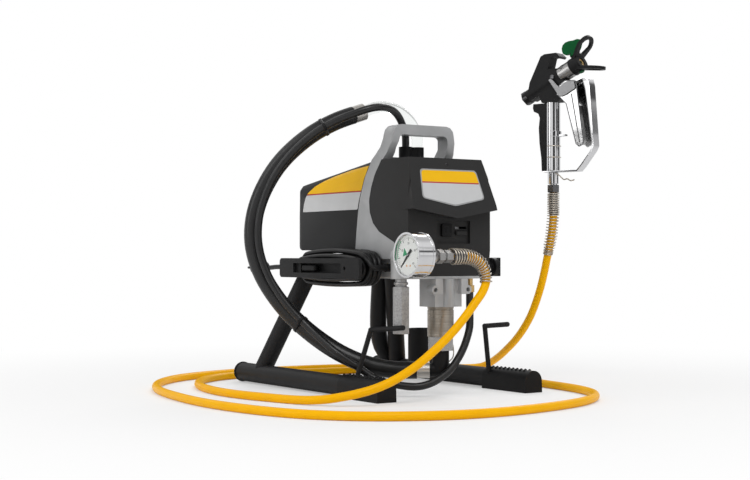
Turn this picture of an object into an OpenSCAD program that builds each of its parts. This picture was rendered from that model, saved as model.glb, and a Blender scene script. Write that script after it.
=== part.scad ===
// Airless paint sprayer on a tubular stand, with its hoses, cord and spray gun.
// Millimetres, +Z up. The machine's front faces -Y and the gauge faces -X.

/* [Stand] */
// Outer diameter of the floor rails
rail_d = 32; // [28:1:36]
// Wall of the stand's tubes
tube_wall = 2.5; // [1.5:0.5:4]
// Distance between the rail axes
track = 284; // [274:2:300]
// Length of the stand from the feet's noses to the rails' ends
stand_len = 447; // [437:1:470]
// Outer diameter of the rear legs
leg_d = 30; // [24:1:32]
// Length of a foot
foot_len = 112; // [90:1:120]
// Width of a foot at its sole
foot_w = 35; // [34.5:0.5:42]
// Thickness of rubber below the rail
sole_t = 1.2; // [0.8:0.2:3]
// Diameter of the bent pail hooks
hook_d = 8; // [6:0.5:10]
// Outer diameter of the drip cup
cup_d = 46; // [40:1:54]
// Height of the drip cup
cup_h = 54; // [45:1:65]

/* [Body] */
// Height of the gear housing's underside above the floor
base_z = 183; // [180:1:186]
// Half width of the gear housing
body_half_w = 80; // [76:1:82]
// Height of the flat top of the body
top_z = 373; // [368:1:380]
// Depth of the handle bar from front to back
handle_depth = 27; // [22:1:30]
// Thickness of the handle's bar and posts
handle_bar = 14; // [11:0.5:17]
// Height of the handle's top
handle_z = 428; // [424:1:434]
// Wall of the moulded covers
shell_t = 3; // [2:0.5:4]
// Length of the motor shroud behind the gear housing
shroud_len = 198; // [192:1:206]

/* [Drive] */
// Outer diameter of the motor's can
motor_d = 104; // [96:1:108]
// Length of the motor's can
motor_len = 156; // [140:1:160]
// Diameter of the motor shaft
shaft_d = 10; // [8:0.5:12]
// Pitch radius of the pinion
pinion_r = 10; // [9:0.5:11]
// Pitch radius of the crank gear
gear_r = 42; // [38:0.5:43]
// Throw of the crank pin
crank_throw = 8; // [5:0.5:9]

/* [Pump] */
// Outer diameter of the pump cylinder
cylinder_d = 41.5; // [38:0.5:46]
// Height of the cylinder below its block
cylinder_h = 47; // [44:1:50]
// Diameter of the piston rod
piston_d = 16; // [12:0.5:18]
// Diameter of the holes in the block's lugs
lug_hole_d = 6.6; // [5.5:0.1:8]
// Distance between the lug holes
lug_span = 63; // [58:1:66]
// Outer diameter of the suction hose
suction_d = 28; // [24:1:28]
// Outer diameter of the return hose
return_d = 12; // [9:0.5:12.5]

/* [Outlet] */
// Outer diameter of the gauge
gauge_d = 68; // [60:1:72]
// Depth of the gauge's case
gauge_t = 30; // [26:1:34]
// Width of the filter housing across its flats
filter_af = 24; // [20:1:28]
// Length of the filter housing
filter_h = 73; // [65:1:80]
// Outer diameter of the high pressure hose
hose_d = 13; // [11:0.5:13]
// Wire diameter of the hose springs
wire_d = 1.8; // [1.4:0.1:1.9]

/* [Gun] */
// Diameter of the gun's handle tube
handle_tube_d = 24; // [21:0.5:26]
// Length of the gun's handle tube
handle_tube_len = 116; // [110:1:124]
// Rise of the barrel above level, in degrees
barrel_tilt = 26; // [22:1:30]
// Diameter of the gun's barrel
barrel_d = 24; // [22:0.5:26]
// Width of the gun's body
gun_w = 22; // [18:1:24]
// Width of the trigger over its two cheeks
trigger_w = 28; // [28:0.5:34]
// Diameter of the trigger's pin
trigger_pin_d = 5; // [4:0.5:6]

/* [Cord] */
// Diameter of the power cord
cord_d = 8; // [6.5:0.5:8]
// Loops of cord in the bracket's inner layer
inner_loops = 4; // [2:1:4]
// Loops of cord in the bracket's outer layer
outer_loops = 3; // [1:1:3]

/* [Hidden] */
$fn = 48;
eps = 0.01;
seam = 0.3;
shaft_fit = 0.06;
stand_half = stand_len / 2;
rail_x = track / 2;
rail_z = rail_d / 2 + sole_t;

// Stand
foot_wall = 1;
foot_r = rail_d / 2 + foot_wall;
foot_h = 2 * foot_r + sole_t;
foot_front = -stand_half;
foot_back = foot_front + foot_len;
foot_nose = 8;
plug_t = 4;
leg_base = [rail_x, 158, rail_z];
bridge_t = 4;
bridge_z = base_z + 24;
bridge_half_w = body_half_w + 2;
bridge_front = -42;
bridge_back = 146;
bridge_rib = 14;
leg_top = [bridge_half_w, 88, bridge_z - bridge_t];
leg_shelf_z = bridge_z - 19;
leg_shelf = [20, 32];
leg_shelf_y = leg_top.y - 8;
flange_inset = 10;
flange_drop = 20;
flange_h = 38;
hook_base = [rail_x - 9, foot_back - 10, rail_z];
hook_bend = [rail_x - 30, foot_back - 24, 104];
hook_tip = [rail_x - 41, foot_back - 97, 110];
cup_y = 85;
cup_wall = 2.2;
cup_floor = rail_d + sole_t + 3;
cup_foot = rail_z + 4;
stay_points = [[bridge_half_w, 126, bridge_z - bridge_t], [85, 130, 185], [89, 139, 150], [95, 151, 112],
    [104, 163, 80], [118, 174, 54], [rail_x - 3, 182, rail_z + 14], [rail_x + 3, 186, rail_z + 4]];

// Body. Side profiles are [y, z]; the boundary runs between the front cover and the gear housing
body_front = -190;
flange_t = 4;
boundary = [[-104, top_z], [-92, top_z - 23], [-85, top_z - 45], [-82, 305], [-84, 288], [-93, 271],
    [-110, 257], [-132, 248], [-152, 240], [-166, 226], [-177, 208], [-186, base_z + flange_t]];
casting_back = [[bridge_front, base_z], [bridge_front, 227], [-46, 262], [-51, 293], [-60, 330], [-72, top_z]];
casting_half = [[body_half_w - 10, base_z], [body_half_w - 2, 200], [body_half_w, 228], [body_half_w, 310],
    [body_half_w - 4, top_z - 28], [body_half_w - 12, top_z]];
shroud_z = 228;
shroud_back = bridge_front + shroud_len;
shroud_drop = 31;
shroud_rear = [[shroud_back - 24, shroud_z], [shroud_back - 9, shroud_z + 4], [shroud_back - 2, shroud_z + 13],
    [shroud_back, shroud_z + 28], [shroud_back - 8, 299], [shroud_back - 11, top_z - shroud_drop]];
shroud_taper = 5;
shroud_corner = 18;
vent_size = [3, 26];
handle_front = -122;
handle_back = handle_front + handle_depth;
handle_half = 63.5;
handle_r = 16;
opening_gap = 3;
panel_top = [body_half_w - 9, -179];
panel_wide = [body_half_w + 1.5, 291];
panel_point_z = 277;
panel_slope = 0.346;
panel_depth = 12;
cover_hole_z = top_z - 11;
recess_x = [-25, 40];
recess_z = [238, 274];
recess_depth = 5;
oil_button = [19, 9.5, 19];
oil_button_at = [-4.5, 259];
slot_at = [25, 263];
socket_r = 11;
socket_h = 22;
socket_x = 11.5;
socket_y = -86;
socket_floor = top_z + 14;
socket_gap = 0.3;
clear_d = 18;
relief_at = [body_half_w + 1, -176, 201];
relief_d = 30;
relief_reach = 11;
relief_len = 18;
relief_stem_d = 8;
relief_valve_d = 19;
relief_valve_len = 33;
pressure_at = [body_half_w, -118, 212];
pressure_d = 36;
pressure_len = 20;
pressure_stem_d = 8;
pressure_stem_len = 16;
switch_y = 20;
switch_z = 300;
switch_r = 14.5;
switch_w = 22;
switch_x = body_half_w - 9;
cord_entry = [body_half_w, -133.5, 200];
entry_depth = 10;

// Drive
motor_z = 287;
motor_front = bridge_front - 8;
motor_back = motor_front + motor_len;
motor_bore = 62;
motor_plate = 6;
rotor_d = motor_bore - 2;
rotor_gap = motor_plate + 4;
gear_face = 14;
gear_back = motor_front - 8;
gear_front = gear_back - gear_face;
gear_module = 2;
gear_teeth = round(2 * gear_r / gear_module);
pinion_teeth = round(2 * pinion_r / gear_module);
tooth_add = 1.6;
tooth_ded = 2.1;
crank_z = motor_z - pinion_r - gear_r;
crank_shaft_d = 16;
web_back = gear_front - 5;
web_front = -128;
disc_front = -152;
disc_t = 10;
pin_d = 9;
pin_front = -175;
window_slack = 0.75;
yoke_window = 2 * (2 * crank_throw + pin_d / 2 + window_slack);
yoke_bar = 9;
yoke_t = 16;
yoke_half = yoke_window / 2 + yoke_bar;
rod_stub_d = 9;
chamber_slack = 4;
chamber_half = yoke_half + 2 * chamber_slack;
chamber_up = yoke_half + crank_throw + chamber_slack;
chamber_front = -183;
fan_gap = 4;
fan_t = 10;
fan_r = 44;
fan_y = motor_back + fan_gap;

// Pump
pump_y = -165.5;
block_h = 44;
block_z = base_z - block_h;
block_half = [26, 21];
boss_d = 20;
lug_z = base_z - 17;
lug_front = -196;
lug_r = 7;
lug_depth = 16;
cylinder_z = block_z - cylinder_h;
cylinder_bore = piston_d + 8;
inlet_h = 22;
inlet_z = cylinder_z - inlet_h;
inlet_af = 37;
elbow_d = 27;
elbow_out_d = 22;
suction_dir = [-0.8, 0.6, 0];
suction_z = 39;
elbow_reach = 17;
ferrule_len = 20.5;
ferrule_d = suction_d - 2;
rod_low = cylinder_z + crank_throw + 4;
return_at = [body_half_w - 24, -168];
return_top = base_z - 22;
return_hex_h = 11;

// Outlet
gauge_x = -128;
gauge_y = -253;
gauge_z = 220;
gauge_wall = 3.5;
dial_depth = 5;
needle_pin_r = 1.2;
needle_turn = -45;
needle_reach = 25.5;
needle_tail = 11;
outlet_z = 218;
tee_x = -84;
outlet_end = -46;
arm_d = 24;
arm_front = -196;
filter_at = [-76, pump_y];
filter_neck = 12;
filter_top = base_z - filter_neck;
arm_boss_d = 32;

// Gun: local x forward, z up, on the handle tube's axis
gun_at = [263, -132];
gun_turn = -74;
swivel_z = 341;
swivel_d = 18.7;
tube_z = 363;
stub_d = 12;
stub_len = 13;
head_z = tube_z + handle_tube_len;
barrel_z = head_z + 37;
barrel_back = -62;
barrel_front = 19;
nose_d = 12;
nut_len = 25;
nut_d = 28;
sleeve_d = 18;
sleeve_len = 9;
guard_s = barrel_front + nut_len;
guard_len = 20;
guard_d = 30;
wing_s = guard_s + 12;
wing_tilt = 30;
wing_len = 46;
wing_t = 5;
wing_half = 20;
wing_bar = 6;
tip_s = guard_s + 12;
tip_d = 9;
key_w = 7;
key_collar_d = 16;
key_collar = [16.5, 19.5];
trigger_pivot = [26, head_z + 17];
cheek_t = 2.5;
strip_t = 2.5;
strip_w = 18;
grip_w = 20;
lock_z = 421;
lock_h = 9;

// Cord
bracket_face = -132;
bracket_t = 6;
bracket_y = [-132, 112];
bracket_half_h = 16;
bracket_r = 6;
strand_gap = 0.7;
strand_pitch = cord_d + strand_gap;
hub_z = 199;
hub_y = [-98, 54];
hub_core_r = 10.3;
hub_r = hub_core_r + cord_d / 2 + 0.7;
hub_lift = strand_pitch;
exit_lane = bracket_face + bracket_t + 4.3;
outer_lane = exit_lane + strand_pitch * (inner_loops - outer_loops + 6 / 22);
relief_tip = -96;
plug_d = 24;
plug_neck = 12;
prong_d = 4;
prong_gap = 12;
prong_len = 16;
tail_z = 198.2;
plug_len = 40;

// Free routes, chosen by hand
suction_points = [[-30, -143, 39], [-54, -125, 39], [-76, -109, 42], [-100, -90, 50], [-126, -68, 65],
    [-150, -44, 86], [-172, -18, 112], [-194, 0, 142], [-212, 18, 178], [-223, 29, 214], [-228, 32, 250],
    [-225, 29, 288], [-215, 19, 326], [-199, 3, 362], [-179, -17, 391], [-154, -40, 416],
    [-124, -57, 434], [-97, -62, 444]];
return_points = [[return_at.x, -168, return_top], [return_at.x, -168, 143], [return_at.x - 2, -171, 122],
    [50, -175, 104], [41, -179, 86],
    [30, -183, 70], [17, -186, 55], [2, -187, 40], [-16, -186, 28.5], [-33, -183, 20.5], [-50, -177, 16.5],
    [-64, -167, 16.5], [-77, -154, 19], [-91, -140, 23], [-104, -127, 30], [-117, -116, 42], [-132, -105, 54],
    [-150, -90, 70], [-163, -66, 90], [-176, -42, 112], [-197, -22, 142], [-214, -4, 178], [-225, 7, 214],
    [-230, 10.5, 250], [-228, 7, 288], [-219, -2, 326], [-205, -17, 360], [-187, -37, 389], [-165, -60, 414],
    [-143, -84, 431], [-122, -105, 442], [-104, -116, 449], [-84, -118, 453], [-62, -111, 453],
    [-42, -101, 448], [-26, -92, 438], [-15, -86, 424], [-11.5, -86, 410], [-11.5, -86, 387]];
strainer_reach = 20;
strainer_d = suction_d - 1;
clear_points = [[-62, -68.5, 457], [-40, -73, 459], [-18, -77, 453], [-2, -81, 440], [7, -84, 425],
    [11.5, -86, 409], [11.5, -86, 398], [11.5, -86, 387]];
hose_points = [[-46, -253, 218], [-33, -253, 218], [-18, -253, 218], [-3, -253, 215.5], [10, -254, 208],
    [18.5, -254, 196], [21, -255, 181], [13, -256, 164], [0, -256, 149], [-20, -257, 128], [-44, -257, 105],
    [-76, -257, 80], [-113, -258, 56], [-150, -258, 38], [-180, -253, 26.5], [-204, -244, 19.5],
    [-224, -231, 14.5], [-242, -211, 10], [-258, -183, 7.5], [-269, -148, 6.5], [-281, -104, 6.5],
    [-293, -50, 6.5], [-297, 10, 6.5], [-288, 82, 6.5], [-264, 152, 6.5], [-218, 220, 6.5], [-150, 264, 6.5],
    [-70, 272, 6.5], [10, 262, 6.5], [90, 250, 6.5], [150, 240, 6.5], [192, 206, 6.5], [215, 150, 6.5],
    [226, 70, 6.5], [229, -20, 6.5], [222, -110, 6.5], [213, -180, 6.5], [202, -250, 6.5], [178, -318, 6.5],
    [134, -375, 6.5], [64, -420, 6.5], [-30, -448, 6.5], [-125, -459, 6.5], [-215, -445, 6.5],
    [-300, -398, 6.5], [-356, -325, 6.5], [-385, -225, 6.5], [-394, -115, 6.5], [-384, -5, 6.5],
    [-366, 85, 6.5], [-334, 165, 6.5], [-284, 235, 6.5], [-215, 290, 6.5], [-111, 325, 6.5],
    [-5, 332, 6.5], [95, 320, 6.5], [190, 288, 6.5], [262, 244, 6.5], [302, 190, 6.5],
    [312, 130, 12], [302, 75, 29], [288, 24, 51], [279, -20, 77], [272, -62, 115], [267.5, -94, 166],
    [265, -113, 214], [263.5, -126, 252], [263, -132, 290], [263, -132, 326.5]];
tail_points = [[exit_lane, 112, 200], [exit_lane, 124, 200], [exit_lane, 142, 199.7], [exit_lane, 156, 198.8],
    [exit_lane, 165, tail_z], [exit_lane, 172, tail_z]];
entry_points = [[relief_tip, -133.5, 200], [-104.5, -133.5, 200], [outer_lane + 1.2, -131.5, 203.5],
    [outer_lane - 0.9, -127, 210], [outer_lane - 1.2, -120, 216]];
exit_points = [[exit_lane, 75, 207], [exit_lane, 84, 202], [exit_lane, 93, 200], [exit_lane, 112, 200]];
pump_spring_curls = 18;
pump_spring_span = [1, 92];
gun_spring_curls = [4, 12, 12];
gun_spring_spans = [108, 98, 37, 1.3];
gun_spring_r = [7.8, 9.6];

// The origin lies on the floor under the middle of the rigid pieces
gun_reach_x = gun_at.x + 42.03;
origin = [(gun_reach_x - rail_x - foot_w / 2) / 2, (stand_half + gauge_y - gauge_d / 2) / 2, 0];

// ---------- vectors and routes ----------

function unit(v) = v / norm(v);

// Adds the points halfway along each span of a Catmull-Rom curve
function halfway(a, b, c, d) = (9 * (b + c) - (a + d)) / 16;
function smoothed(p) = let (n = len(p) - 1) [
    for (i = [0 : n], half = [0, 1])
        if (half == 0 || i < n)
            half == 0 ? p[i] : halfway(p[max(i - 1, 0)], p[i], p[i + 1], p[min(i + 2, n)])
];

function tangent(p, i) = unit(p[min(i + 1, len(p) - 1)] - p[max(i - 1, 0)]);
function square_to(v, t) = unit(v - (v * t) * t);

// Side vectors carried along a route without twist
function side_vectors(p, start) = [
    for (i = 0, m = square_to(start, tangent(p, 0));
        i < len(p);
        i = i + 1, m = i < len(p) ? square_to(m, tangent(p, i)) : m)
        m
];

// A round tube along a route, with flat ends
module tube_along(p, d, sides, start = [0, 1, 0]) {
    side = side_vectors(p, start);
    last = (len(p) - 1) * sides;
    points = [for (i = [0 : len(p) - 1], k = [0 : sides - 1])
        let (a = 360 * k / sides)
        p[i] + d / 2 * (cos(a) * side[i] + sin(a) * cross(tangent(p, i), side[i]))];
    walls = [for (i = [0 : len(p) - 2], k = [0 : sides - 1], half = [0, 1])
        let (a = i * sides + k, b = i * sides + (k + 1) % sides)
        half == 0 ? [a, a + sides, b] : [b, a + sides, b + sides]];
    caps = [for (k = [1 : sides - 2], end = [0, 1])
        end == 0 ? [0, k, k + 1] : [last, last + k + 1, last + k]];
    polyhedron(points = points, faces = concat(walls, caps));
}

// Distance along a route up to each of its points
function lengths(p) = [for (i = 0, s = 0; i < len(p);
    i = i + 1, s = i < len(p) ? s + norm(p[i] - p[i - 1]) : s) s];
function span_of(total, s) = max([for (i = [0 : len(total) - 2]) total[i] <= s ? i : 0]);

// A curl's point at distance s along a route, turned by a round it
function curl_point(p, total, s, r, a, start) = let (
        i = span_of(total, s),
        f = (s - total[i]) / (total[i + 1] - total[i]),
        t = unit((1 - f) * tangent(p, i) + f * tangent(p, i + 1)),
        side = square_to(start, t)
    ) (1 - f) * p[i] + f * p[i + 1] + r * (cos(a) * side + sin(a) * cross(t, side));

// Least distance between points at least `skip` apart in the list, less the tube's diameter
function least_gap(p, d, skip) = min([for (i = [0 : len(p) - 1 - skip], j = [i + skip : len(p) - 1])
    norm(p[i] - p[j])]) - d;
function route_length(p) = let (s = lengths(p)) s[len(s) - 1];

// ---------- shared shapes ----------

// A straight cylinder between two points; turn moves its seam round it
module rod(a, b, d, turn = 0) {
    v = b - a;
    translate(a)
        rotate([0, acos(v.z / norm(v)), atan2(v.y, v.x)])
            rotate(turn)
                cylinder(d = d, h = norm(v));
}

module along_x(from, to, d, at) {
    translate([from, at.x, at.y])
        rotate([0, 90, 0])
            cylinder(d = d, h = to - from);
}

module along_y(from, to, d, at) {
    translate([at.x, from, at.y])
        rotate([-90, 0, 0])
            cylinder(d = d, h = to - from);
}

// A [y, z] profile drawn across the machine
module side_prism(points, half) {
    rotate([90, 0, 90])
        translate([0, 0, -half])
            linear_extrude(2 * half)
                polygon(points);
}

// An [x, z] profile drawn along Y
module front_prism(points, from, to) {
    translate([0, to, 0])
        rotate([90, 0, 0])
            linear_extrude(to - from)
                polygon(points);
}

// A rectangle with round corners, from its low corner to its high one
function rounded_box(low, high, r) = [
    for (c = [[high.x - r, high.y - r, 0], [low.x + r, high.y - r, 90], [low.x + r, low.y + r, 180],
            [high.x - r, low.y + r, 270]], a = [0 : 30 : 90])
        [c.x + r * cos(c.z + a), c.y + r * sin(c.z + a)]
];
function mirrored(half) = concat(half, [for (i = [len(half) - 1 : -1 : 0]) [-half[i].x, half[i].y]]);

// The outline of a bent strip of thickness t along a path
function strip_side(p, i, t) = let (
        a = unit(p[max(i, 1)] - p[max(i, 1) - 1]),
        b = unit(p[min(i + 1, len(p) - 1)] - p[min(i, len(p) - 2)]),
        m = unit(a + b)
    ) p[i] + t / 2 / (m * b) * [-m.y, m.x];
function strip_outline(p, t) = concat([for (i = [0 : len(p) - 1]) strip_side(p, i, t)],
    [for (i = [len(p) - 1 : -1 : 0]) strip_side(p, i, -t)]);

module hexagon(af, h) {
    cylinder(d = af / cos(30), h = h, $fn = 6);
}

// Everything is moved so that the origin lies under the middle of the rigid pieces
module placed() {
    translate(-origin)
        children();
}

module both_sides() {
    children();
    mirror([1, 0, 0])
        children();
}

// ---------- stand ----------

module rail_solid(clearance = 0) {
    translate([rail_x, foot_front + foot_nose, rail_z])
        rotate([-90, 0, 0])
            cylinder(d = rail_d + 2 * clearance, h = stand_len - foot_nose - plug_t);
}

module rail() {
    color("#242424")
        difference() {
            rail_solid();
            translate([rail_x, foot_front, rail_z])
                rotate([-90, 0, 0])
                    cylinder(d = rail_d - 2 * tube_wall, h = stand_len);
            rod(hook_base, hook_bend, hook_d);
        }
}

module leg() {
    lean = leg_top - leg_base;
    color("#242424")
        difference() {
            rod(leg_base, leg_base + lean * 1.1, leg_d, 90);
            rod(leg_base - lean * 0.1, leg_base + lean * 1.2, leg_d - 2 * tube_wall, 90);
            rail_solid();
            translate([0, 0, leg_shelf_z])
                cube([400, 400, 60]);
        }
}

module rear_stay() {
    color("#242424")
        difference() {
            tube_along(smoothed(stay_points), leg_d, 12);
            rail_solid();
            translate([0, 0, bridge_z - bridge_t])
                cube([400, 400, 60]);
            rod(leg_base, leg_base + (leg_top - leg_base) * 1.1, leg_d + 2 * seam);
        }
}

module rail_end_plugs() {
    color("#161616")
        both_sides()
            translate([rail_x, stand_half, rail_z])
                rotate([90, 0, 0]) {
                    cylinder(d = rail_d + 2 * sole_t, h = plug_t);
                    cylinder(d = rail_d - 2 * tube_wall, h = plug_t + 14);
                }
}

module foot() {
    top = foot_h - foot_r;
    color("#1c1c1c")
        difference() {
            translate([rail_x, foot_back, 0])
                rotate([90, 0, 0])
                    linear_extrude(foot_len)
                        union() {
                            translate([0, top])
                                circle(r = foot_r);
                            polygon([[-foot_w / 2, 0], [foot_w / 2, 0], [foot_r, top], [-foot_r, top]]);
                        }
            translate([rail_x, foot_front + foot_nose, rail_z])
                rotate([-90, 0, 0])
                    cylinder(d = rail_d, h = foot_len);
            rod(hook_base, hook_bend, hook_d + 2 * seam);
        }
}

module bridge_ribs(clearance = 0) {
    both_sides()
        translate([bridge_half_w - bridge_t - clearance, bridge_front, bridge_z - bridge_t - bridge_rib])
            cube([bridge_t + 2 * clearance, 154, bridge_rib + bridge_t]);
}

// Shelves under the ribs, which the legs butt against
module leg_shelves() {
    both_sides()
        translate([bridge_half_w - bridge_t, leg_shelf_y, leg_shelf_z])
            cube([leg_shelf.x, leg_shelf.y, bridge_t]);
}

// Screws that hold the bridge's front flange to the gear housing, as [x, z]
flange_screw_x = body_half_w - 18;
flange_screws = [for (side = [-1, 1], up = [-12, 10]) [side * flange_screw_x, bridge_z + up]];
screw_d = 6;
screw_head_d = 11;
screw_head_h = 5;
screw_len = 14;

module frame_bridge() {
    color("#242424")
        difference() {
            union() {
                translate([-bridge_half_w, bridge_front, bridge_z - bridge_t])
                    cube([2 * bridge_half_w, bridge_back - bridge_front, bridge_t]);
                bridge_ribs();
                leg_shelves();
                translate([flange_inset - body_half_w, bridge_front, bridge_z - flange_drop])
                    cube([2 * (body_half_w - flange_inset), bridge_t, flange_h]);
            }
            for (at = flange_screws)
                along_y(bridge_front - 1, bridge_front + bridge_t + 1, screw_d + 2 * seam, at);
        }
}

module screws() {
    color("#8c8f92")
        for (at = flange_screws) {
            along_y(bridge_front + bridge_t, bridge_front + bridge_t + screw_head_h, screw_head_d, at);
            along_y(bridge_front + bridge_t - screw_len, bridge_front + bridge_t + eps, screw_d, at);
        }
}

module pail_hook() {
    rod(hook_base, hook_bend, hook_d);
    translate(hook_bend)
        sphere(d = hook_d + 0.4);
    rod(hook_bend, hook_tip, hook_d);
}

module pail_hooks() {
    color("#1d1d1d")
        both_sides()
            pail_hook();
}

module drip_cup() {
    color("#1a1a1a")
        difference() {
            translate([rail_x, cup_y, cup_foot])
                cylinder(d = cup_d, h = cup_floor + cup_h - cup_foot);
            translate([rail_x, cup_y, cup_floor])
                cylinder(d = cup_d - 2 * cup_wall, h = cup_h + 1);
            rail_solid(seam);
        }
}

// ---------- body ----------

handle_front_line = [[handle_front, handle_z], [handle_front + 2, top_z + 28],
    [handle_front + 10, top_z + 10]];
handle_back_line = [[-80, top_z + 8], [handle_back + 5, top_z + 20], [handle_back + 1, top_z + 33],
    [handle_back, handle_z]];

function corner_arc(half, top, r) = [for (a = [0 : 30 : 90]) [half - r + r * cos(a), top - r + r * sin(a)]];

module casting_solid() {
    intersection() {
        side_prism(concat(boundary, [[body_front, base_z + flange_t], [body_front, base_z]], casting_back,
            handle_back_line, handle_front_line), body_half_w);
        front_prism(mirrored(concat(casting_half, [[handle_half, top_z + 20]],
            corner_arc(handle_half - 3.5, handle_z, handle_r))), body_front - 1, 0);
    }
}

module handle_opening() {
    inner = handle_half - handle_bar + 1;
    front_prism(mirrored(concat([[inner, top_z + opening_gap], [inner, top_z + 18]],
        corner_arc(inner - 3, handle_z - handle_bar - 2, 8))), handle_front - 5, -60);
}

module outlet_arm(clearance = 0) {
    translate([filter_at.x, filter_at.y, base_z])
        cylinder(d = arm_boss_d + 2 * clearance, h = outlet_z + arm_d / 2 - 4 - base_z + clearance);
    along_y(arm_front, filter_at.y, arm_d + 2 * clearance, [tee_x, outlet_z]);
}

module relief_valve_solid(clearance = 0) {
    inner_end = relief_at.x - relief_valve_len;
    along_x(inner_end - clearance, relief_at.x + clearance, relief_valve_d + 2 * clearance,
        [relief_at.y, relief_at.z]);
}

module gear_housing() {
    color("#8f9294")
        difference() {
            union() {
                casting_solid();
                outlet_arm();
            }
            handle_opening();
            // Gears, open towards the motor
            along_y(web_back, 0, 2 * (gear_r + tooth_add + chamber_slack - 1), [0, crank_z]);
            along_y(web_back, 0, 2 * (pinion_r + tooth_add + chamber_slack), [0, motor_z]);
            along_y(motor_front, 0, motor_d + 2 * seam, [0, motor_z]);
            translate([-60, web_back, motor_z + 18])
                cube([120, 80, 52]);
            // Crank shaft and crank chamber, open towards the front cover
            along_y(web_front - 1, web_back + 1, crank_shaft_d + 2 * shaft_fit, [0, crank_z]);
            translate([-chamber_half, chamber_front, crank_z - chamber_up])
                cube([2 * chamber_half, web_front - chamber_front, 2 * chamber_up]);
            translate([0, pump_y, base_z - 1])
                cylinder(d = piston_d + 2 * shaft_fit, h = 40);
            // Cord entry and the screw hole beside it
            translate([-body_half_w - 1, cord_entry.y - 9, cord_entry.z - 14])
                cube([entry_depth + 1, 50, 28]);
            along_x(-body_half_w - 1, -body_half_w + 12, 4.5, [cord_entry.y - 14, cord_entry.z]);
            along_x(pressure_at.x - pressure_stem_len - 1, pressure_at.x + 1, pressure_stem_d + 2 * shaft_fit,
                [pressure_at.y, pressure_at.z]);
            relief_valve_solid(0.05);
            for (at = flange_screws)
                along_y(bridge_front - screw_len, bridge_front + 1, screw_d + 2 * shaft_fit, at);
        }
}

// The shroud's outer shape, drawn in by `inset`
module shroud_solid(inset) {
    reach = inset > 0 ? 40 : 0;
    top_line = [[-72 - reach, top_z + reach * shroud_drop / 200 - inset], shroud_rear[5] - [inset, inset]];
    side = concat([for (i = [4 : -1 : 1]) casting_back[i] + [seam - reach, 0]],
        [[bridge_front + seam - reach, shroud_z + inset], shroud_rear[0] + [0, inset]],
        [for (i = [1, 2]) shroud_rear[i] + inset / sqrt(2) * [-1, 1]],
        [for (i = [3, 4]) shroud_rear[i] - [inset, 0]], [top_line[1], top_line[0] + [seam, 0]]);
    half = body_half_w - inset;
    back = shroud_back - inset;
    slope = atan2(shroud_drop, shroud_back + 61);
    intersection() {
        side_prism(side, half);
        // Rounded rear corners, seen from above
        linear_extrude(500)
            polygon(mirrored([[half, -150], [half, 0], [half - shroud_taper, back - shroud_corner],
                [half - shroud_taper - 5, back - 6], [half - shroud_taper - shroud_corner, back]]));
        // Rounded top edges, which fall towards the rear
        translate([0, -72, top_z])
            rotate([-slope, 0, 0])
                front_prism(mirrored([[half, -260], [half, -63], [half - 4, -28], [half - 9, -10 - inset],
                    [half - 14, -3 - inset], [half - 22, -inset]]), -60, 300);
    }
}

module switch_window(clearance) {
    translate([switch_x, switch_y - switch_w / 2 - clearance, switch_z - switch_r - clearance])
        cube([40, switch_w + 2 * clearance, 2 * (switch_r + clearance)]);
}

module motor_shroud() {
    color("#2b2c2d")
        difference() {
            shroud_solid(0);
            shroud_solid(shell_t);
            switch_window(seam);
            for (x = [-40 : 10 : 40], z = [262, 296])
                translate([x - vent_size.x / 2, shroud_back - 40, z])
                    cube([vent_size.x, 60, vent_size.y]);
        }
}

module cover_solid(inset) {
    half = body_half_w - inset;
    low = base_z + flange_t + inset;
    back = inset > 0 ? 30 : 0;
    front = body_front + inset;
    top = top_z - 1 - inset;
    slope_z = top - (panel_top.y - body_front) / panel_slope;
    intersection() {
        side_prism(concat(
            [for (q = boundary) [q.x - seam + back, q.y > top ? top : max(q.y, low)]],
            [[front, low], [front, slope_z], [panel_top.y + inset, top]]), half);
        front_prism(mirrored([[half - 4, low], [half, 228], [half, 310], [half - 4, top_z - 28],
            [panel_top.x - inset, top]]), body_front - 40, 0);
    }
    // Raised panel with a pointed lower edge
    intersection() {
        front_prism(mirrored([[0.01, panel_point_z + inset], [panel_wide.x - inset, panel_wide.y + inset],
            [panel_wide.x - inset, panel_wide.y + 8], [panel_top.x - inset, top]]), -260, -150);
        side_prism([[panel_top.y + inset, top], [panel_top.y + inset - panel_slope * (top - 270), 270],
            [body_front + panel_depth + inset, 270], [body_front + panel_depth + inset, top]], 100);
    }
}

module recess_box(grow, depth) {
    translate([recess_x[0] - grow, body_front - 1, recess_z[0] - grow])
        cube([recess_x[1] - recess_x[0] + 2 * grow, depth + 1, recess_z[1] - recess_z[0] + 2 * grow]);
}

module front_cover() {
    color("#3a3b3c")
        difference() {
            union() {
                difference() {
                    cover_solid(0);
                    cover_solid(shell_t);
                }
                intersection() {
                    recess_box(shell_t, recess_depth + shell_t);
                    cover_solid(0);
                }
            }
            recess_box(0, recess_depth);
            translate([oil_button_at.x, body_front + 8, oil_button_at.y])
                cube([oil_button.x + 2 * seam, 20, oil_button.z + 2 * seam], center = true);
            translate([slot_at.x - 11, body_front, slot_at.y - 1.8])
                cube([22, 20, 3.6]);
            along_y(-230, -160, 4.5, [0, cover_hole_z]);
            outlet_arm(seam);
            relief_valve_solid(seam);
        }
}

module hose_sockets() {
    color("#222222")
        difference() {
            union() {
                for (x = [-socket_x, socket_x])
                    translate([x, socket_y, top_z])
                        cylinder(r = socket_r, h = socket_h);
                translate([-socket_x, socket_y - socket_r + 2, top_z])
                    cube([2 * socket_x, 2 * socket_r - 4, socket_h - 4]);
            }
            translate([-socket_x, socket_y, socket_floor])
                cylinder(d = return_d + 2 * socket_gap, h = 40);
            translate([socket_x, socket_y, socket_floor])
                cylinder(d = clear_d + 2 * socket_gap, h = 40);
            handle_step_space();
        }
}

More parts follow.
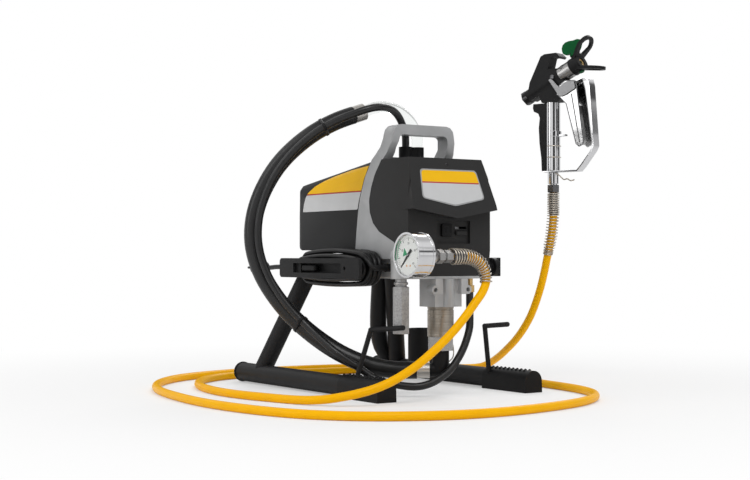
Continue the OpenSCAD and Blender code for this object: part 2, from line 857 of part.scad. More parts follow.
// The space of the gear housing's low step inside the handle, which the sockets stand over
module handle_step_space() {
    step_half = 50;
    translate([-step_half, handle_front, top_z - 1])
        cube([2 * step_half, handle_back + seam - handle_front, opening_gap + 1 + seam]);
    translate([-step_half, handle_front, top_z - 1])
        cube([2 * step_half, 62, opening_gap + 1]);
}

module oil_button() {
    color("#303132")
        translate([oil_button_at.x - oil_button.x / 2, body_front + 0.5, oil_button_at.y - oil_button.z / 2])
            cube(oil_button);
}

module power_switch() {
    color("#1b1b1b")
        intersection() {
            along_y(switch_y - switch_w / 2, switch_y + switch_w / 2, 2 * switch_r, [switch_x, switch_z]);
            front_prism([[switch_x, switch_z - switch_r], [body_half_w + 3.5, switch_z - switch_r],
                [body_half_w + 1, switch_z], [body_half_w + 3.5, switch_z + switch_r],
                [switch_x, switch_z + switch_r]], switch_y - 20, switch_y + 20);
        }
}

// A round knob with a grip bar across its face, facing +X
module knob(at, d, len, reach, stem_d, stem_len) {
    along_x(at.x - stem_len, at.x + reach + 1, stem_d, [at.y, at.z]);
    along_x(at.x + seam, at.x + reach, d * 0.55, [at.y, at.z]);
    difference() {
        along_x(at.x + reach - eps, at.x + reach + len, d, [at.y, at.z]);
        for (s = [-1, 1])
            translate([at.x + reach + len * 0.45, at.y + s * d * 0.42 - d * 0.3, at.z - d])
                cube([len, d * 0.6, 2 * d]);
    }
}

module pressure_knob() {
    color("#202020")
        knob(pressure_at, pressure_d, pressure_len, 3, pressure_stem_d, pressure_stem_len - 1);
}

// ---------- drive ----------

// Gear outline: four points a tooth, the first tooth or gap on the +Y side
function gear_points(r, teeth, phase) = [for (i = [0 : teeth - 1], k = [0 : 3])
    let (
        step = 360 / teeth,
        half = [0.30, 0.11, -0.11, -0.30][k],
        radius = [r - tooth_ded, r + tooth_add, r + tooth_add, r - tooth_ded][k],
        a = 90 + step * (i + phase - half)
    ) radius * [cos(a), sin(a)]];

module toothed(r, teeth, phase, at) {
    translate([at.x, gear_back, at.y])
        rotate([90, 0, 0])
            linear_extrude(gear_face)
                polygon(gear_points(r, teeth, phase));
}

module motor_can() {
    color("#4b4d50")
        difference() {
            along_y(motor_front, motor_back, motor_d, [0, motor_z]);
            along_y(motor_front + motor_plate, motor_back - motor_plate, motor_bore, [0, motor_z]);
            along_y(motor_front - 1, motor_back + 1, shaft_d + 2 * shaft_fit, [0, motor_z]);
        }
}

module motor_rotor() {
    color("#9a8f86") {
        along_y(gear_front - 1, fan_y + fan_t + 1, shaft_d, [0, motor_z]);
        along_y(motor_front + rotor_gap, motor_back - rotor_gap, rotor_d, [0, motor_z]);
        toothed(pinion_r, pinion_teeth, pinion_teeth % 2 == 0 ? 0.5 : 0, [0, motor_z]);
    }
}

module cooling_fan() {
    color("#2d2d2d")
        difference() {
            union() {
                along_y(fan_y, fan_y + fan_t, 24, [0, motor_z]);
                along_y(fan_y, fan_y + 1.5, 2 * fan_r, [0, motor_z]);
                for (a = [20 : 45 : 335])
                    translate([0, fan_y + 1, motor_z])
                        rotate([0, a, 0])
                            translate([10, 0, -1])
                                cube([fan_r - 11, fan_t - 1.5, 2]);
            }
            along_y(fan_y - 1, fan_y + fan_t + 1, shaft_d, [0, motor_z]);
        }
}

module crank_gear() {
    color("#8b8d90") {
        toothed(gear_r, gear_teeth, 0, [0, crank_z]);
        along_y(disc_front, gear_front + 1, crank_shaft_d, [0, crank_z]);
        along_y(disc_front, disc_front + disc_t, 2 * (crank_throw + pin_d / 2 + 3), [0, crank_z]);
        along_y(pin_front, disc_front + 1, pin_d, [crank_throw, crank_z]);
    }
}

module piston_yoke() {
    color("#96999c")
        translate([0, pump_y, crank_z])
            difference() {
                translate([-yoke_half, -yoke_t / 2, -yoke_half])
                    cube([2 * yoke_half, yoke_t, 2 * yoke_half]);
                translate([-yoke_window / 2, -yoke_t, -yoke_window / 2])
                    cube([yoke_window, 2 * yoke_t, yoke_window]);
                translate([0, 0, -yoke_half - 1])
                    cylinder(d = rod_stub_d + 2 * shaft_fit, h = yoke_bar + 2);
            }
}

module piston_rod() {
    color("#b4b7ba") {
        translate([0, pump_y, rod_low])
            cylinder(d = piston_d, h = crank_z - yoke_half - rod_low);
        translate([0, pump_y, crank_z - yoke_half - 1])
            cylinder(d = rod_stub_d, h = yoke_bar);
    }
}

// ---------- pump ----------

module pump_block() {
    color("#c3c6c8")
        difference() {
            union() {
                translate([-block_half.x, pump_y - block_half.y, block_z])
                    cube([2 * block_half.x, 2 * block_half.y, block_h]);
                translate([0, lug_front + boss_d / 2 + 1, block_z])
                    cylinder(d = boss_d, h = block_h);
                for (s = [-1, 1]) {
                    along_y(lug_front, lug_front + lug_depth, 2 * lug_r, [s * lug_span / 2, lug_z]);
                    translate([s > 0 ? block_half.x - 8 : -lug_span / 2, lug_front, lug_z - lug_r])
                        cube([lug_span / 2 - block_half.x + 8, lug_depth, base_z - lug_z + lug_r]);
                }
            }
            for (s = [-1, 1])
                along_y(lug_front - 1, pump_y, lug_hole_d, [s * lug_span / 2, lug_z]);
            translate([0, pump_y, block_z - 1])
                cylinder(d = piston_d + 2 * shaft_fit, h = block_h + 2);
        }
}

module pump_cylinder() {
    color("#9c948a")
        difference() {
            translate([0, pump_y, cylinder_z])
                cylinder(d = cylinder_d, h = cylinder_h);
            translate([0, pump_y, cylinder_z - 1])
                cylinder(d = cylinder_bore, h = cylinder_h + 2);
            translate([0, pump_y, block_z - 5])
                difference() {
                    cylinder(d = cylinder_d + 2, h = 1.6);
                    translate([0, 0, -1])
                        cylinder(d = cylinder_d - 2, h = 4);
                }
        }
}

module inlet_valve() {
    color("#aaa59d")
        difference() {
            translate([0, pump_y, inlet_z])
                hexagon(inlet_af, inlet_h);
            translate([0, pump_y, inlet_z - 1])
                cylinder(d = 14, h = inlet_h + 2);
        }
}

module inlet_elbow() {
    corner = [0, pump_y, suction_z];
    color("#1f1f1f") {
        translate(corner)
            cylinder(d = elbow_d, h = inlet_z - suction_z);
        translate(corner)
            sphere(d = elbow_d - 1);
        rod(corner, corner + suction_dir * elbow_reach, elbow_out_d);
    }
}

module suction_ferrule() {
    corner = [0, pump_y, suction_z];
    color("#b9babb")
        rod(corner + suction_dir * elbow_reach, corner + suction_dir * (elbow_reach + ferrule_len - seam),
            ferrule_d);
}

module relief_valve() {
    color("#a08a55")
        difference() {
            relief_valve_solid();
            along_x(relief_at.x - relief_valve_len / 2, relief_at.x + 1, relief_stem_d + 2 * shaft_fit,
                [relief_at.y, relief_at.z]);
        }
}

module relief_knob() {
    color("#1e1e1e")
        knob(relief_at, relief_d, relief_len, relief_reach, relief_stem_d, relief_valve_len / 2 - 1);
}

module return_fitting() {
    color("#b08d4a") {
        translate([return_at.x, return_at.y, return_top])
            hexagon(14, return_hex_h);
        translate([return_at.x, return_at.y, return_top + return_hex_h - eps])
            cylinder(d = 10, h = base_z - return_top - return_hex_h + eps);
    }
}

// ---------- hoses ----------

module suction_hose() {
    color("#2a2a2a")
        tube_along(smoothed(suction_points), suction_d, 12);
}

strainer_start = suction_points[len(suction_points) - 1];
strainer_dir = unit(strainer_start - halfway(suction_points[len(suction_points) - 3],
    suction_points[len(suction_points) - 2], strainer_start, strainer_start));

module suction_strainer() {
    color("#b5b7b9")
        rod(strainer_start, strainer_start + strainer_dir * strainer_reach, strainer_d);
}

module return_hose() {
    color("#262626")
        tube_along(return_points, return_d, 8);
}

clear_start = strainer_start + strainer_dir * (strainer_reach + seam);
clear_route = concat([clear_start], smoothed(concat([clear_start + 4 * strainer_dir], clear_points)));

module clear_tube() {
    color("#d8dad8")
        tube_along(clear_route, clear_d, 12);
}

module high_pressure_hose() {
    color("#f2b705")
        tube_along(hose_points, hose_d, 8, [0, 0, 1]);
}

hose_total = lengths(hose_points);
hose_len = hose_total[len(hose_total) - 1];
pump_spring = [for (i = [0 : 8 * pump_spring_curls])
    let (
        f = i / (8 * pump_spring_curls),
        s = pump_spring_span[0] + f * (pump_spring_span[1] - pump_spring_span[0])
    )
    curl_point(hose_points, hose_total, s, 12.1 - 3.7 * f, 45 * i, [0, 1, 0])];

// Distance from the gun's end of the hose at each eighth of a curl
function gun_spring_s(i) = let (
        a = 8 * gun_spring_curls[0],
        b = a + 8 * gun_spring_curls[1],
        c = b + 8 * gun_spring_curls[2]
    ) i <= a ? gun_spring_spans[0] + (gun_spring_spans[1] - gun_spring_spans[0]) * i / a
    : i <= b ? gun_spring_spans[1] + (gun_spring_spans[2] - gun_spring_spans[1]) * (i - a) / (b - a)
    : gun_spring_spans[2] + (gun_spring_spans[3] - gun_spring_spans[2]) * (i - b) / (c - b);
function gun_spring_width(i) = let (f = max(0, min(1, i / 8 - gun_spring_curls[0])))
    gun_spring_r[0] + f * (gun_spring_r[1] - gun_spring_r[0]);
gun_spring = [for (i = [0 : 8 * (gun_spring_curls[0] + gun_spring_curls[1] + gun_spring_curls[2])])
    curl_point(hose_points, hose_total, hose_len - gun_spring_s(i), gun_spring_width(i), 45 * i, [1, 0, 0])];

module pump_hose_spring() {
    color("#b9b4a6")
        tube_along(pump_spring, wire_d, 6, [1, 0, 0]);
}

module gun_hose_spring() {
    color("#b9b4a6")
        tube_along(gun_spring, wire_d, 6, [0, 0, 1]);
}

// ---------- outlet ----------

module filter_housing() {
    color("#a9acae") {
        translate([filter_at.x, filter_at.y, filter_top - filter_h])
            hexagon(filter_af, filter_h);
        translate([filter_at.x, filter_at.y, filter_top - eps])
            cylinder(d = 18, h = filter_neck + eps);
        translate([filter_at.x, filter_at.y, filter_top + 3])
            cylinder(d = 22, h = 4);
    }
}

module outlet_tee() {
    at = [gauge_y, outlet_z];
    color("#c9cbcd") {
        along_y(gauge_y, arm_front, 16, [tee_x, outlet_z]);
        translate([tee_x, gauge_y, outlet_z])
            sphere(d = 25);
        along_x(gauge_x + gauge_t, outlet_end, 14, at);
        translate([gauge_x + gauge_t, gauge_y, gauge_z])
            rotate([0, 90, 0])
                hexagon(19, 7);
        translate([-72, gauge_y, outlet_z])
            rotate([0, 90, 0])
                hexagon(19, 10);
        translate([-58, gauge_y, outlet_z])
            rotate([0, 90, 0])
                hexagon(17, outlet_end + 58);
    }
}

module gauge_case() {
    dial = gauge_x + dial_depth;
    at = [gauge_y, gauge_z];
    color("#c4c6c8") {
        difference() {
            union() {
                along_x(gauge_x, gauge_x + gauge_t, gauge_d - 2, at);
                along_x(gauge_x, gauge_x + 8, gauge_d, at);
                along_x(gauge_x + gauge_t - 4, gauge_x + gauge_t, gauge_d, at);
            }
            along_x(gauge_x - 1, dial, gauge_d - 2 * gauge_wall, at);
        }
        along_x(dial - 2.6, dial + eps, 2 * needle_pin_r, at);
    }
}

needle_outline = [[-needle_tail, -2.4], [-4, -2], [needle_reach, -0.4], [needle_reach, 0.4], [-4, 2],
    [-needle_tail, 2.4]];

module gauge_needle() {
    color("#222222")
        translate([gauge_x + dial_depth - 1.6, gauge_y, gauge_z])
            rotate([needle_turn, 0, 0])
                rotate([90, 0, 90])
                    linear_extrude(0.8)
                        difference() {
                            union() {
                                circle(r = 2.8);
                                polygon(needle_outline);
                            }
                            circle(r = needle_pin_r + shaft_fit);
                        }
}

module gauge_lens() {
    color("#dfe8ea")
        along_x(gauge_x + 0.4, gauge_x + 1.9, gauge_d - 2 * gauge_wall - 2 * seam, [gauge_y, gauge_z]);
}

// ---------- gun ----------

module in_gun() {
    translate([gun_at.x, gun_at.y, 0])
        rotate([0, 0, gun_turn])
            children();
}

// x runs along the barrel from the handle tube's axis
module on_barrel() {
    translate([0, 0, barrel_z])
        rotate([0, -barrel_tilt, 0])
            children();
}

// A [forward, up] profile of width w in the gun's middle plane
module gun_prism(points, w) {
    translate([0, w / 2, 0])
        rotate([90, 0, 0])
            linear_extrude(w)
                polygon(points);
}

module barrel_rod(from, to, d) {
    translate([from, 0, 0])
        rotate([0, 90, 0])
            cylinder(d = d, h = to - from);
}

module across_gun(at, w, d) {
    translate([at.x, w / 2, at.y])
        rotate([90, 0, 0])
            cylinder(d = d, h = w);
}

module gun_swivel() {
    color("#c2c4c6")
        in_gun() {
            translate([0, 0, swivel_z - 14.5])
                hexagon(19, 12.5);
            translate([0, 0, swivel_z - 2.5])
                cylinder(d = 14, h = 3);
            translate([0, 0, swivel_z])
                cylinder(d = swivel_d, h = tube_z - strip_t - 2 * seam - swivel_z);
            translate([0, 0, tube_z - strip_t - 2])
                cylinder(d = stub_d, h = strip_t + 2 + stub_len);
        }
}

module handle_tube() {
    color("#c9cbcd")
        in_gun()
            translate([0, 0, tube_z])
                difference() {
                    cylinder(d = handle_tube_d, h = handle_tube_len);
                    translate([0, 0, -1])
                        cylinder(d = stub_d + 2 * shaft_fit, h = stub_len + 3);
                    translate([0, 0, stub_len + 2 - eps])
                        cylinder(d = handle_tube_d - 8, h = handle_tube_len);
                }
}

grip_back = [[-8, tube_z], [-17, tube_z], [-18, 385], [-21.5, 410], [-23, 436], [-21, 454], [-24, 461],
    [-33, 465], [-35, 471], [-34, head_z - 1], [-8, head_z - 1]];

module gun_grip() {
    color("#1d1d1d")
        in_gun()
            difference() {
                gun_prism(grip_back, grip_w);
                cylinder(d = handle_tube_d + 2 * seam, h = 600);
            }
}

body_outline = [[-16, head_z], [16, head_z], [24, head_z + 6], [33, head_z + 11], [34, head_z + 25],
    [26, head_z + 38], [17, head_z + 56], [4, head_z + 57], [-4, head_z + 56], [1, head_z + 75],
    [8.5, head_z + 77], [12, head_z + 75], [17, head_z + 73], [20, head_z + 76], [12.5, head_z + 83],
    [-11, head_z + 82.5], [-18.5, head_z + 79], [-41, head_z + 36], [-46, head_z + 10],
    [-39, head_z + 5], [-22, head_z + 12]];

module gun_body() {
    color("#1c1c1c")
        in_gun()
            difference() {
                union() {
                    difference() {
                        gun_prism(body_outline, gun_w);
                        on_barrel()
                            barrel_rod(barrel_front, guard_s + 5, nut_d + 2);
                    }
                    on_barrel() {
                        barrel_rod(barrel_back, barrel_front, barrel_d);
                        barrel_rod(barrel_front - 1, barrel_front + 15, nose_d);
                    }
                    across_gun(trigger_pivot, trigger_w + 2, trigger_pin_d);
                }
                on_barrel()
                    barrel_rod(-20, barrel_front + 20, 6);
            }
}

module retainer_nut() {
    color("#bfc1c3")
        in_gun()
            on_barrel()
                difference() {
                    barrel_rod(barrel_front + seam, guard_s - seam, nut_d);
                    barrel_rod(barrel_front, guard_s, nose_d + 2 * seam);
                    barrel_rod(guard_s - sleeve_len - 1, guard_s + 1, sleeve_d + 2 * shaft_fit);
                }
}

// The round outer end of a guard's loop
function wing_arc(r) = [for (a = [-90 : 15 : 90]) [wing_len - wing_half + r * cos(a), r * sin(a)]];

module guard_wing() {
    translate([wing_s, 0, 8])
        rotate([0, -wing_tilt, 0])
            translate([0, 0, -wing_t / 2])
                linear_extrude(wing_t)
                    difference() {
                        polygon(concat([[-6, -11]], wing_arc(wing_half), [[-6, 11]]));
                        polygon(concat([[13, -6]], wing_arc(wing_half - wing_bar), [[13, 6]]));
                    }
}

module tip_guard() {
    color("#181818")
        in_gun()
            on_barrel()
                difference() {
                    union() {
                        barrel_rod(guard_s, guard_s + guard_len, guard_d);
                        barrel_rod(guard_s - sleeve_len, guard_s + 1, sleeve_d);
                        guard_wing();
                        mirror([0, 0, 1])
                            guard_wing();
                    }
                    barrel_rod(guard_s - sleeve_len - 1, guard_s + guard_len + 1, 8);
                    barrel_rod(guard_s + guard_len - 5, guard_s + guard_len + 30, 14);
                    translate([tip_s, 0, -guard_d])
                        cylinder(d = tip_d + 2 * shaft_fit, h = 2 * guard_d);
                }
}

// The tip's key in profile: forward of the tip's axis and up from the barrel's
key_outline = [[-4, 17], [-4, 18.5], [-2.5, 20.5], [-4, 22.6], [-9, 23.2], [-14.5, 25.8], [-17.3, 30.5],
    [-17, 35], [-15.5, 39.5], [-11.5, 43.5], [-5, 45], [2, 43.5], [10, 40], [17, 38.5], [20, 36.5], [20.3, 32],
    [19, 27], [14, 22], [9, 19], [6, 17]];

module spray_tip() {
    color("#0c8a4c")
        in_gun()
            on_barrel()
                translate([tip_s, 0, 0]) {
                    translate([0, 0, -guard_d / 2 - 1])
                        cylinder(d = tip_d, h = guard_d / 2 + 1 + key_collar[1]);
                    translate([0, 0, key_collar[0]])
                        cylinder(d = key_collar_d, h = key_collar[1] - key_collar[0]);
                    gun_prism(key_outline, key_w);
                }
}

cheek_outline = [[16, head_z + 12], [20, head_z + 26], [32, head_z + 34], [52, head_z + 33], [55, head_z + 22],
    [68, 412], [67, 404], [60, 401], [54, 406], [35, head_z - 5], [22, head_z + 7]];
finger_outline = [[50.5, head_z - 8], [53.5, head_z - 8], [63.5, 412], [60.5, 404], [57.5, 407], [57.5, 413]];

module trigger() {
    color("#cfd1d3")
        in_gun()
            difference() {
                union() {
                    for (s = [-1, 1])
                        translate([0, s * (trigger_w - cheek_t) / 2, 0])
                            gun_prism(cheek_outline, cheek_t);
                    gun_prism(finger_outline, trigger_w - 1);
                }
                across_gun(trigger_pivot, 60, trigger_pin_d + 2 * shaft_fit);
            }
}

guard_strip = [[34 + strip_t / 2 + seam, head_z + 27], [56, head_z + 35], [66, head_z + 38], [73, head_z + 34],
    [76, head_z + 23], [84, 402], [80, 394], [60, 370], [52, tube_z - strip_t / 2],
    [-15, tube_z - strip_t / 2]];

module trigger_guard() {
    color("#b9bbbd")
        in_gun()
            difference() {
                translate([0, 0, -0.1])
                    gun_prism(strip_outline(guard_strip, strip_t), strip_w);
                cylinder(d = stub_d + 2 * seam, h = 400);
            }
}

module trigger_lock() {
    color("#d0d2d4")
        in_gun()
            translate([0, 0, lock_z])
                difference() {
                    union() {
                        cylinder(d = handle_tube_d + 5, h = lock_h);
                        translate([0, -4, 0])
                            cube([26, 8, 3]);
                    }
                    translate([0, 0, -1])
                        cylinder(d = handle_tube_d + 2 * shaft_fit, h = lock_h + 2);
                    translate([-27, -30, -1])
                        cube([30, 60, lock_h + 2]);
                }
}

// ---------- cord ----------

module strain_relief() {
    at = [cord_entry.y, cord_entry.z];
    floor_x = -cord_entry.x + entry_depth;
    color("#171717") {
        along_x(-cord_entry.x - 4, floor_x, 13, at);
        along_x(relief_tip, -cord_entry.x - 3, 10, at);
    }
}

module cord_bracket() {
    color("#242424")
        difference() {
            union() {
                translate([bracket_face, 0, 0])
                    rotate([90, 0, 90])
                        linear_extrude(bracket_t)
                            polygon(rounded_box([bracket_y[0], hub_z - bracket_half_h],
                                [bracket_y[1], hub_z + bracket_half_h], bracket_r));
                hub_core();
            }
            translate([bracket_face - 1, -79, hub_z - hub_core_r + 2.5])
                cube([15, 146, 2 * hub_core_r - 5]);
            along_x(bracket_face - 1, bracket_face + 9, 6, [-90, hub_z]);
        }
}

module hub_core() {
    for (y = hub_y)
        along_x(bracket_face + 1, -bridge_half_w - seam, 2 * hub_core_r, [y, hub_z]);
    translate([bracket_face + 1, hub_y[0], hub_z - hub_core_r])
        cube([-bridge_half_w - seam - bracket_face - 1, hub_y[1] - hub_y[0], 2 * hub_core_r]);
}

// One loop round the hub has 22 points: top, rear end, bottom, front end
loop_points = 22;
hub_run = hub_y[1] - hub_y[0];
function bulge(f, depth) = depth * 4 * f * (1 - f);
function around_hub(k, lift) = let (
        r = hub_r + lift,
        rear = 90 - 30 * (k - 4),
        front = 270 - 30 * (k - 15),
        top_f = (k + 1) / 5,
        low_f = (k - 10) / 5
    ) k < 4 ? [hub_y[0] + hub_run * top_f, hub_z + r + bulge(top_f, 4.5)]
    : k < 11 ? [hub_y[1] + r * cos(rear), hub_z + r * sin(rear)]
    : k < 15 ? [hub_y[1] - hub_run * low_f, hub_z - r - bulge(low_f, 2.5)]
    : [hub_y[0] + r * cos(front), hub_z + r * sin(front)];
function strand(i, x0, direction, lift) = let (q = around_hub((i + loop_points) % loop_points, lift))
    [x0 + direction * strand_pitch * i / loop_points, q.x, q.y];
outer_end = outer_lane + strand_pitch * outer_loops;
hank_points = concat(entry_points,
    [for (i = [-2 : outer_loops * loop_points]) strand(i, outer_lane, 1, hub_lift)],
    [for (i = [1 : inner_loops * loop_points + 5]) strand(i, outer_end, -1, 0)],
    exit_points);

module power_cord_hank() {
    color("#141414")
        tube_along(hank_points, cord_d, 6, [0, 0, 1]);
}

module power_cord_tail() {
    color("#141414")
        tube_along(tail_points, cord_d, 8, [1, 0, 0]);
}

module plug() {
    color("#151515")
        translate(tail_points[len(tail_points) - 1])
            rotate([-90, 0, 0]) {
                cylinder(d1 = cord_d + 4, d2 = plug_d, h = plug_neck + eps);
                translate([0, 0, plug_neck])
                    cylinder(d = plug_d, h = plug_len - plug_neck);
                for (s = [-1, 1])
                    translate([s * prong_gap / 2, 0, plug_len - 1])
                        cylinder(d = prong_d, h = prong_len + 1);
            }
}

echo(hank_gap = least_gap(hank_points, cord_d, 5), hank_length = route_length(hank_points));
echo(pump_spring_gap = least_gap(pump_spring, wire_d, 5), gun_spring_gap = least_gap(gun_spring, wire_d, 5));
echo(suction_gap = least_gap(smoothed(suction_points), suction_d, 6));
echo(suction_length = route_length(suction_points));
echo(return_gap = least_gap(return_points, return_d, 5), return_length = route_length(return_points));
echo(hose_gap = least_gap(hose_points, hose_d, 6), hose_length = hose_len);

// ---------- drawing ----------

placed() mirror([1, 0, 0]) rail();  // left_rail
placed() rail();  // right_rail
placed() mirror([1, 0, 0]) leg();  // left_leg
placed() leg();  // right_leg
placed() rear_stay();
placed() rail_end_plugs();
placed() mirror([1, 0, 0]) foot();  // left_foot
placed() foot();  // right_foot
placed() frame_bridge();
placed() pail_hooks();
placed() drip_cup();
placed() screws();
placed() gear_housing();
placed() motor_shroud();
placed() front_cover();
placed() hose_sockets();
placed() oil_button();
placed() power_switch();
placed() pressure_knob();
placed() motor_can();
placed() motor_rotor();
placed() cooling_fan();
placed() crank_gear();
placed() piston_yoke();
placed() piston_rod();
placed() pump_block();
placed() pump_cylinder();
placed() inlet_valve();
placed() inlet_elbow();
placed() strain_relief();
placed() suction_ferrule();
placed() relief_valve();
placed() relief_knob();
placed() return_fitting();
placed() suction_hose();
placed() suction_strainer();
placed() return_hose();
placed() clear_tube();
placed() filter_housing();
placed() outlet_tee();
placed() gauge_case();
placed() gauge_needle();
placed() gauge_lens();
placed() pump_hose_spring();
placed() high_pressure_hose();
placed() gun_hose_spring();
placed() gun_swivel();
placed() gun_body();
placed() retainer_nut();
placed() tip_guard();
placed() spray_tip();
placed() handle_tube();
placed() gun_grip();
placed() trigger();
placed() trigger_guard();
placed() trigger_lock();
placed() cord_bracket();
placed() power_cord_hank();
placed() power_cord_tail();
placed() plug();
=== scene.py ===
"""Looks for the airless paint sprayer.

Finishes, hoses, cord, springs and small surface detail round the CAD frame.
"""
import math

import bmesh
import bpy
from mathutils import Matrix, Vector
from mathutils.bvhtree import BVHTree


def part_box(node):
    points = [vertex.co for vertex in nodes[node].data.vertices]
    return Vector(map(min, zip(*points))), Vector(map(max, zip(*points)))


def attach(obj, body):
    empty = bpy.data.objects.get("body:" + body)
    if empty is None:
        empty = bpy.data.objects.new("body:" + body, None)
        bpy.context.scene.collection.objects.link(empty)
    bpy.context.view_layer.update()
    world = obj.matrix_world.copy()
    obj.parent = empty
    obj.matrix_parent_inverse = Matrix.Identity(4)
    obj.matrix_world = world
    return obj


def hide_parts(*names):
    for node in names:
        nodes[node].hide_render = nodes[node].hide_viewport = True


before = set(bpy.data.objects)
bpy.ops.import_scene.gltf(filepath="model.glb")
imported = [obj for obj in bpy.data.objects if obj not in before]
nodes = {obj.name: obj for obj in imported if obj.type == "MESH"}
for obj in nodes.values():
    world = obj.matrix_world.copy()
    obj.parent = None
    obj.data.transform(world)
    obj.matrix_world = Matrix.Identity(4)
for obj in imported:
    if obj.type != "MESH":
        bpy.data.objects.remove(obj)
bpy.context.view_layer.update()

# ---------- machine frame ----------
# Lengths in this file are millimetres in the part source's own machine frame: x from the machine's middle
# plane, y from the body's middle, z from the floor. at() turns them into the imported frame's metres.

MM = 0.001
ROOT = "sprayer"
PUMP_Y = -165.5
pump_low, pump_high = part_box("pump_cylinder")
pump_middle = (pump_low + pump_high) / 2 / MM
ORIGIN = Vector((-pump_middle.x, PUMP_Y - pump_middle.y, 0))


def at(x, y, z):
    """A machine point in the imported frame, in metres."""
    return (Vector((x, y, z)) - ORIGIN) * MM


def at_all(points):
    return [at(*p) for p in points]


def vectors(points):
    return [Vector(p) for p in points]


def link(obj):
    bpy.context.scene.collection.objects.link(obj)


# ---------- camera ----------
CAMERA_AT = (-1346.54, -1987.31, 220.18)
CAMERA_YAW = 33.8546
CAMERA_PITCH = 0.5983
FOCAL_PIXELS = 1434.96
PHOTO_WIDTH = 750
SENSOR_WIDTH = 36
FAR_CLIP = 60

camera = bpy.data.objects.new("camera", bpy.data.cameras.new("camera"))
camera.location = at(*CAMERA_AT)
camera.rotation_euler = (math.radians(90 + CAMERA_PITCH), 0, math.radians(-CAMERA_YAW))
camera.data.sensor_width = SENSOR_WIDTH
camera.data.lens = FOCAL_PIXELS * SENSOR_WIDTH / PHOTO_WIDTH
camera.data.clip_end = FAR_CLIP
link(camera)
bpy.context.scene.camera = camera
bpy.context.scene.view_settings.view_transform = "Standard"


# ---------- routes ----------

def halfway(a, b, c, d):
    """The middle of the span from b to c on a Catmull-Rom curve."""
    return (9 * (b + c) - (a + d)) / 16


def smoothed(points, times=2):
    """Adds the middle of each span of a route, times over."""
    for _ in range(times):
        finer = []
        last = len(points) - 1
        for i in range(last):
            before = points[max(i - 1, 0)]
            after = points[min(i + 2, last)]
            finer += [points[i], halfway(before, points[i], points[i + 1], after)]
        points = finer + [points[last]]
    return points


def route_length(points):
    return sum((b - a).length for a, b in zip(points, points[1:]))


def tangent(points, i):
    return (points[min(i + 1, len(points) - 1)] - points[max(i - 1, 0)]).normalized()


def square_to(vector, direction):
    """The unit vector across a direction that lies nearest to the vector."""
    return (vector - vector.dot(direction) * direction).normalized()


def side_vectors(points, start):
    """Side vectors carried along a route without twist."""
    sides = [square_to(Vector(start), tangent(points, 0))]
    for i in range(1, len(points)):
        sides.append(square_to(sides[-1], tangent(points, i)))
    return sides


def along(points, distance):
    """The point and the direction at a distance along a route."""
    for i, (a, b) in enumerate(zip(points, points[1:])):
        span = (b - a).length
        if distance <= span or i == len(points) - 2:
            f = distance / span
            direction = (1 - f) * tangent(points, i) + f * tangent(points, i + 1)
            return a + (b - a) * f, direction.normalized()
        distance -= span


def curl(points, distances, radii, turns_per_point, start):
    """A wire wound round a route: one point at each distance, each turned on from the last."""
    wound = []
    for i, (distance, radius) in enumerate(zip(distances, radii)):
        centre, direction = along(points, distance)
        side = square_to(Vector(start), direction)
        angle = 2 * math.pi * turns_per_point * i
        wound.append(centre + radius * (math.cos(angle) * side + math.sin(angle) * direction.cross(side)))
    return wound


def ramp(values, f):
    """The value a share f of the way from the first value to the second."""
    return values[0] + (values[1] - values[0]) * f


# ---------- outlines ----------

def rounded(corners, radius, steps=4):
    """A 2-D outline with its corners rounded."""
    outline = []
    for i, corner in enumerate(corners):
        before, here, after = Vector(corners[i - 1]), Vector(corner), Vector(corners[(i + 1) % len(corners)])
        a = here + (before - here).normalized() * radius
        b = here + (after - here).normalized() * radius
        for k in range(steps + 1):
            f = k / steps
            outline.append(tuple(a * (1 - f) ** 2 + here * 2 * f * (1 - f) + b * f ** 2))
    return outline


def clipped(outline, low, high):
    """The part of a 2-D outline between two heights."""
    for limit, side in ((low, 1), (high, -1)):
        kept = []
        for i, (x, y) in enumerate(outline):
            last_x, last_y = outline[i - 1]
            if (side * (y - limit) >= 0) != (side * (last_y - limit) >= 0):
                f = (limit - last_y) / (y - last_y)
                kept.append((last_x + f * (x - last_x), limit))
            if side * (y - limit) >= 0:
                kept.append((x, y))
        outline = kept
    return outline


def inset(outline, by):
    """A 2-D outline drawn in towards its middle on all sides."""
    xs, ys = zip(*outline)
    mx, my = (min(xs) + max(xs)) / 2, (min(ys) + max(ys)) / 2
    fx, fy = 1 - 2 * by / (max(xs) - min(xs)), 1 - 2 * by / (max(ys) - min(ys))
    return [(mx + (x - mx) * fx, my + (y - my) * fy) for x, y in outline]


def arc(radius, start, end, steps, centre=(0, 0)):
    """Points of a 2-D arc, with its angles in degrees."""
    angles = [math.radians(start + (end - start) * i / steps) for i in range(steps + 1)]
    return [(centre[0] + radius * math.cos(a), centre[1] + radius * math.sin(a)) for a in angles]


# ---------- meshes ----------
SAME_POINT = 1e-6
# Rounded edges: width, segments and the angle above which an edge is rounded
TUBE_EDGES = (0.3, 1, 60)
LATHE_EDGES = (0.25, 2, 28)
# The side from which a turned shape's points start, along no shape's axis
LATHE_START = Vector((0.3, 0.2, 1))


def shade(mesh, smooth=True):
    for face in mesh.polygons:
        face.use_smooth = smooth


def riding(name, mesh, material, slot, body=ROOT):
    """A new object of a mesh in packed metres, riding on a body."""
    mesh.materials.append(material)
    obj = bpy.data.objects.new(name, mesh)
    link(obj)
    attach(obj, body)
    return obj


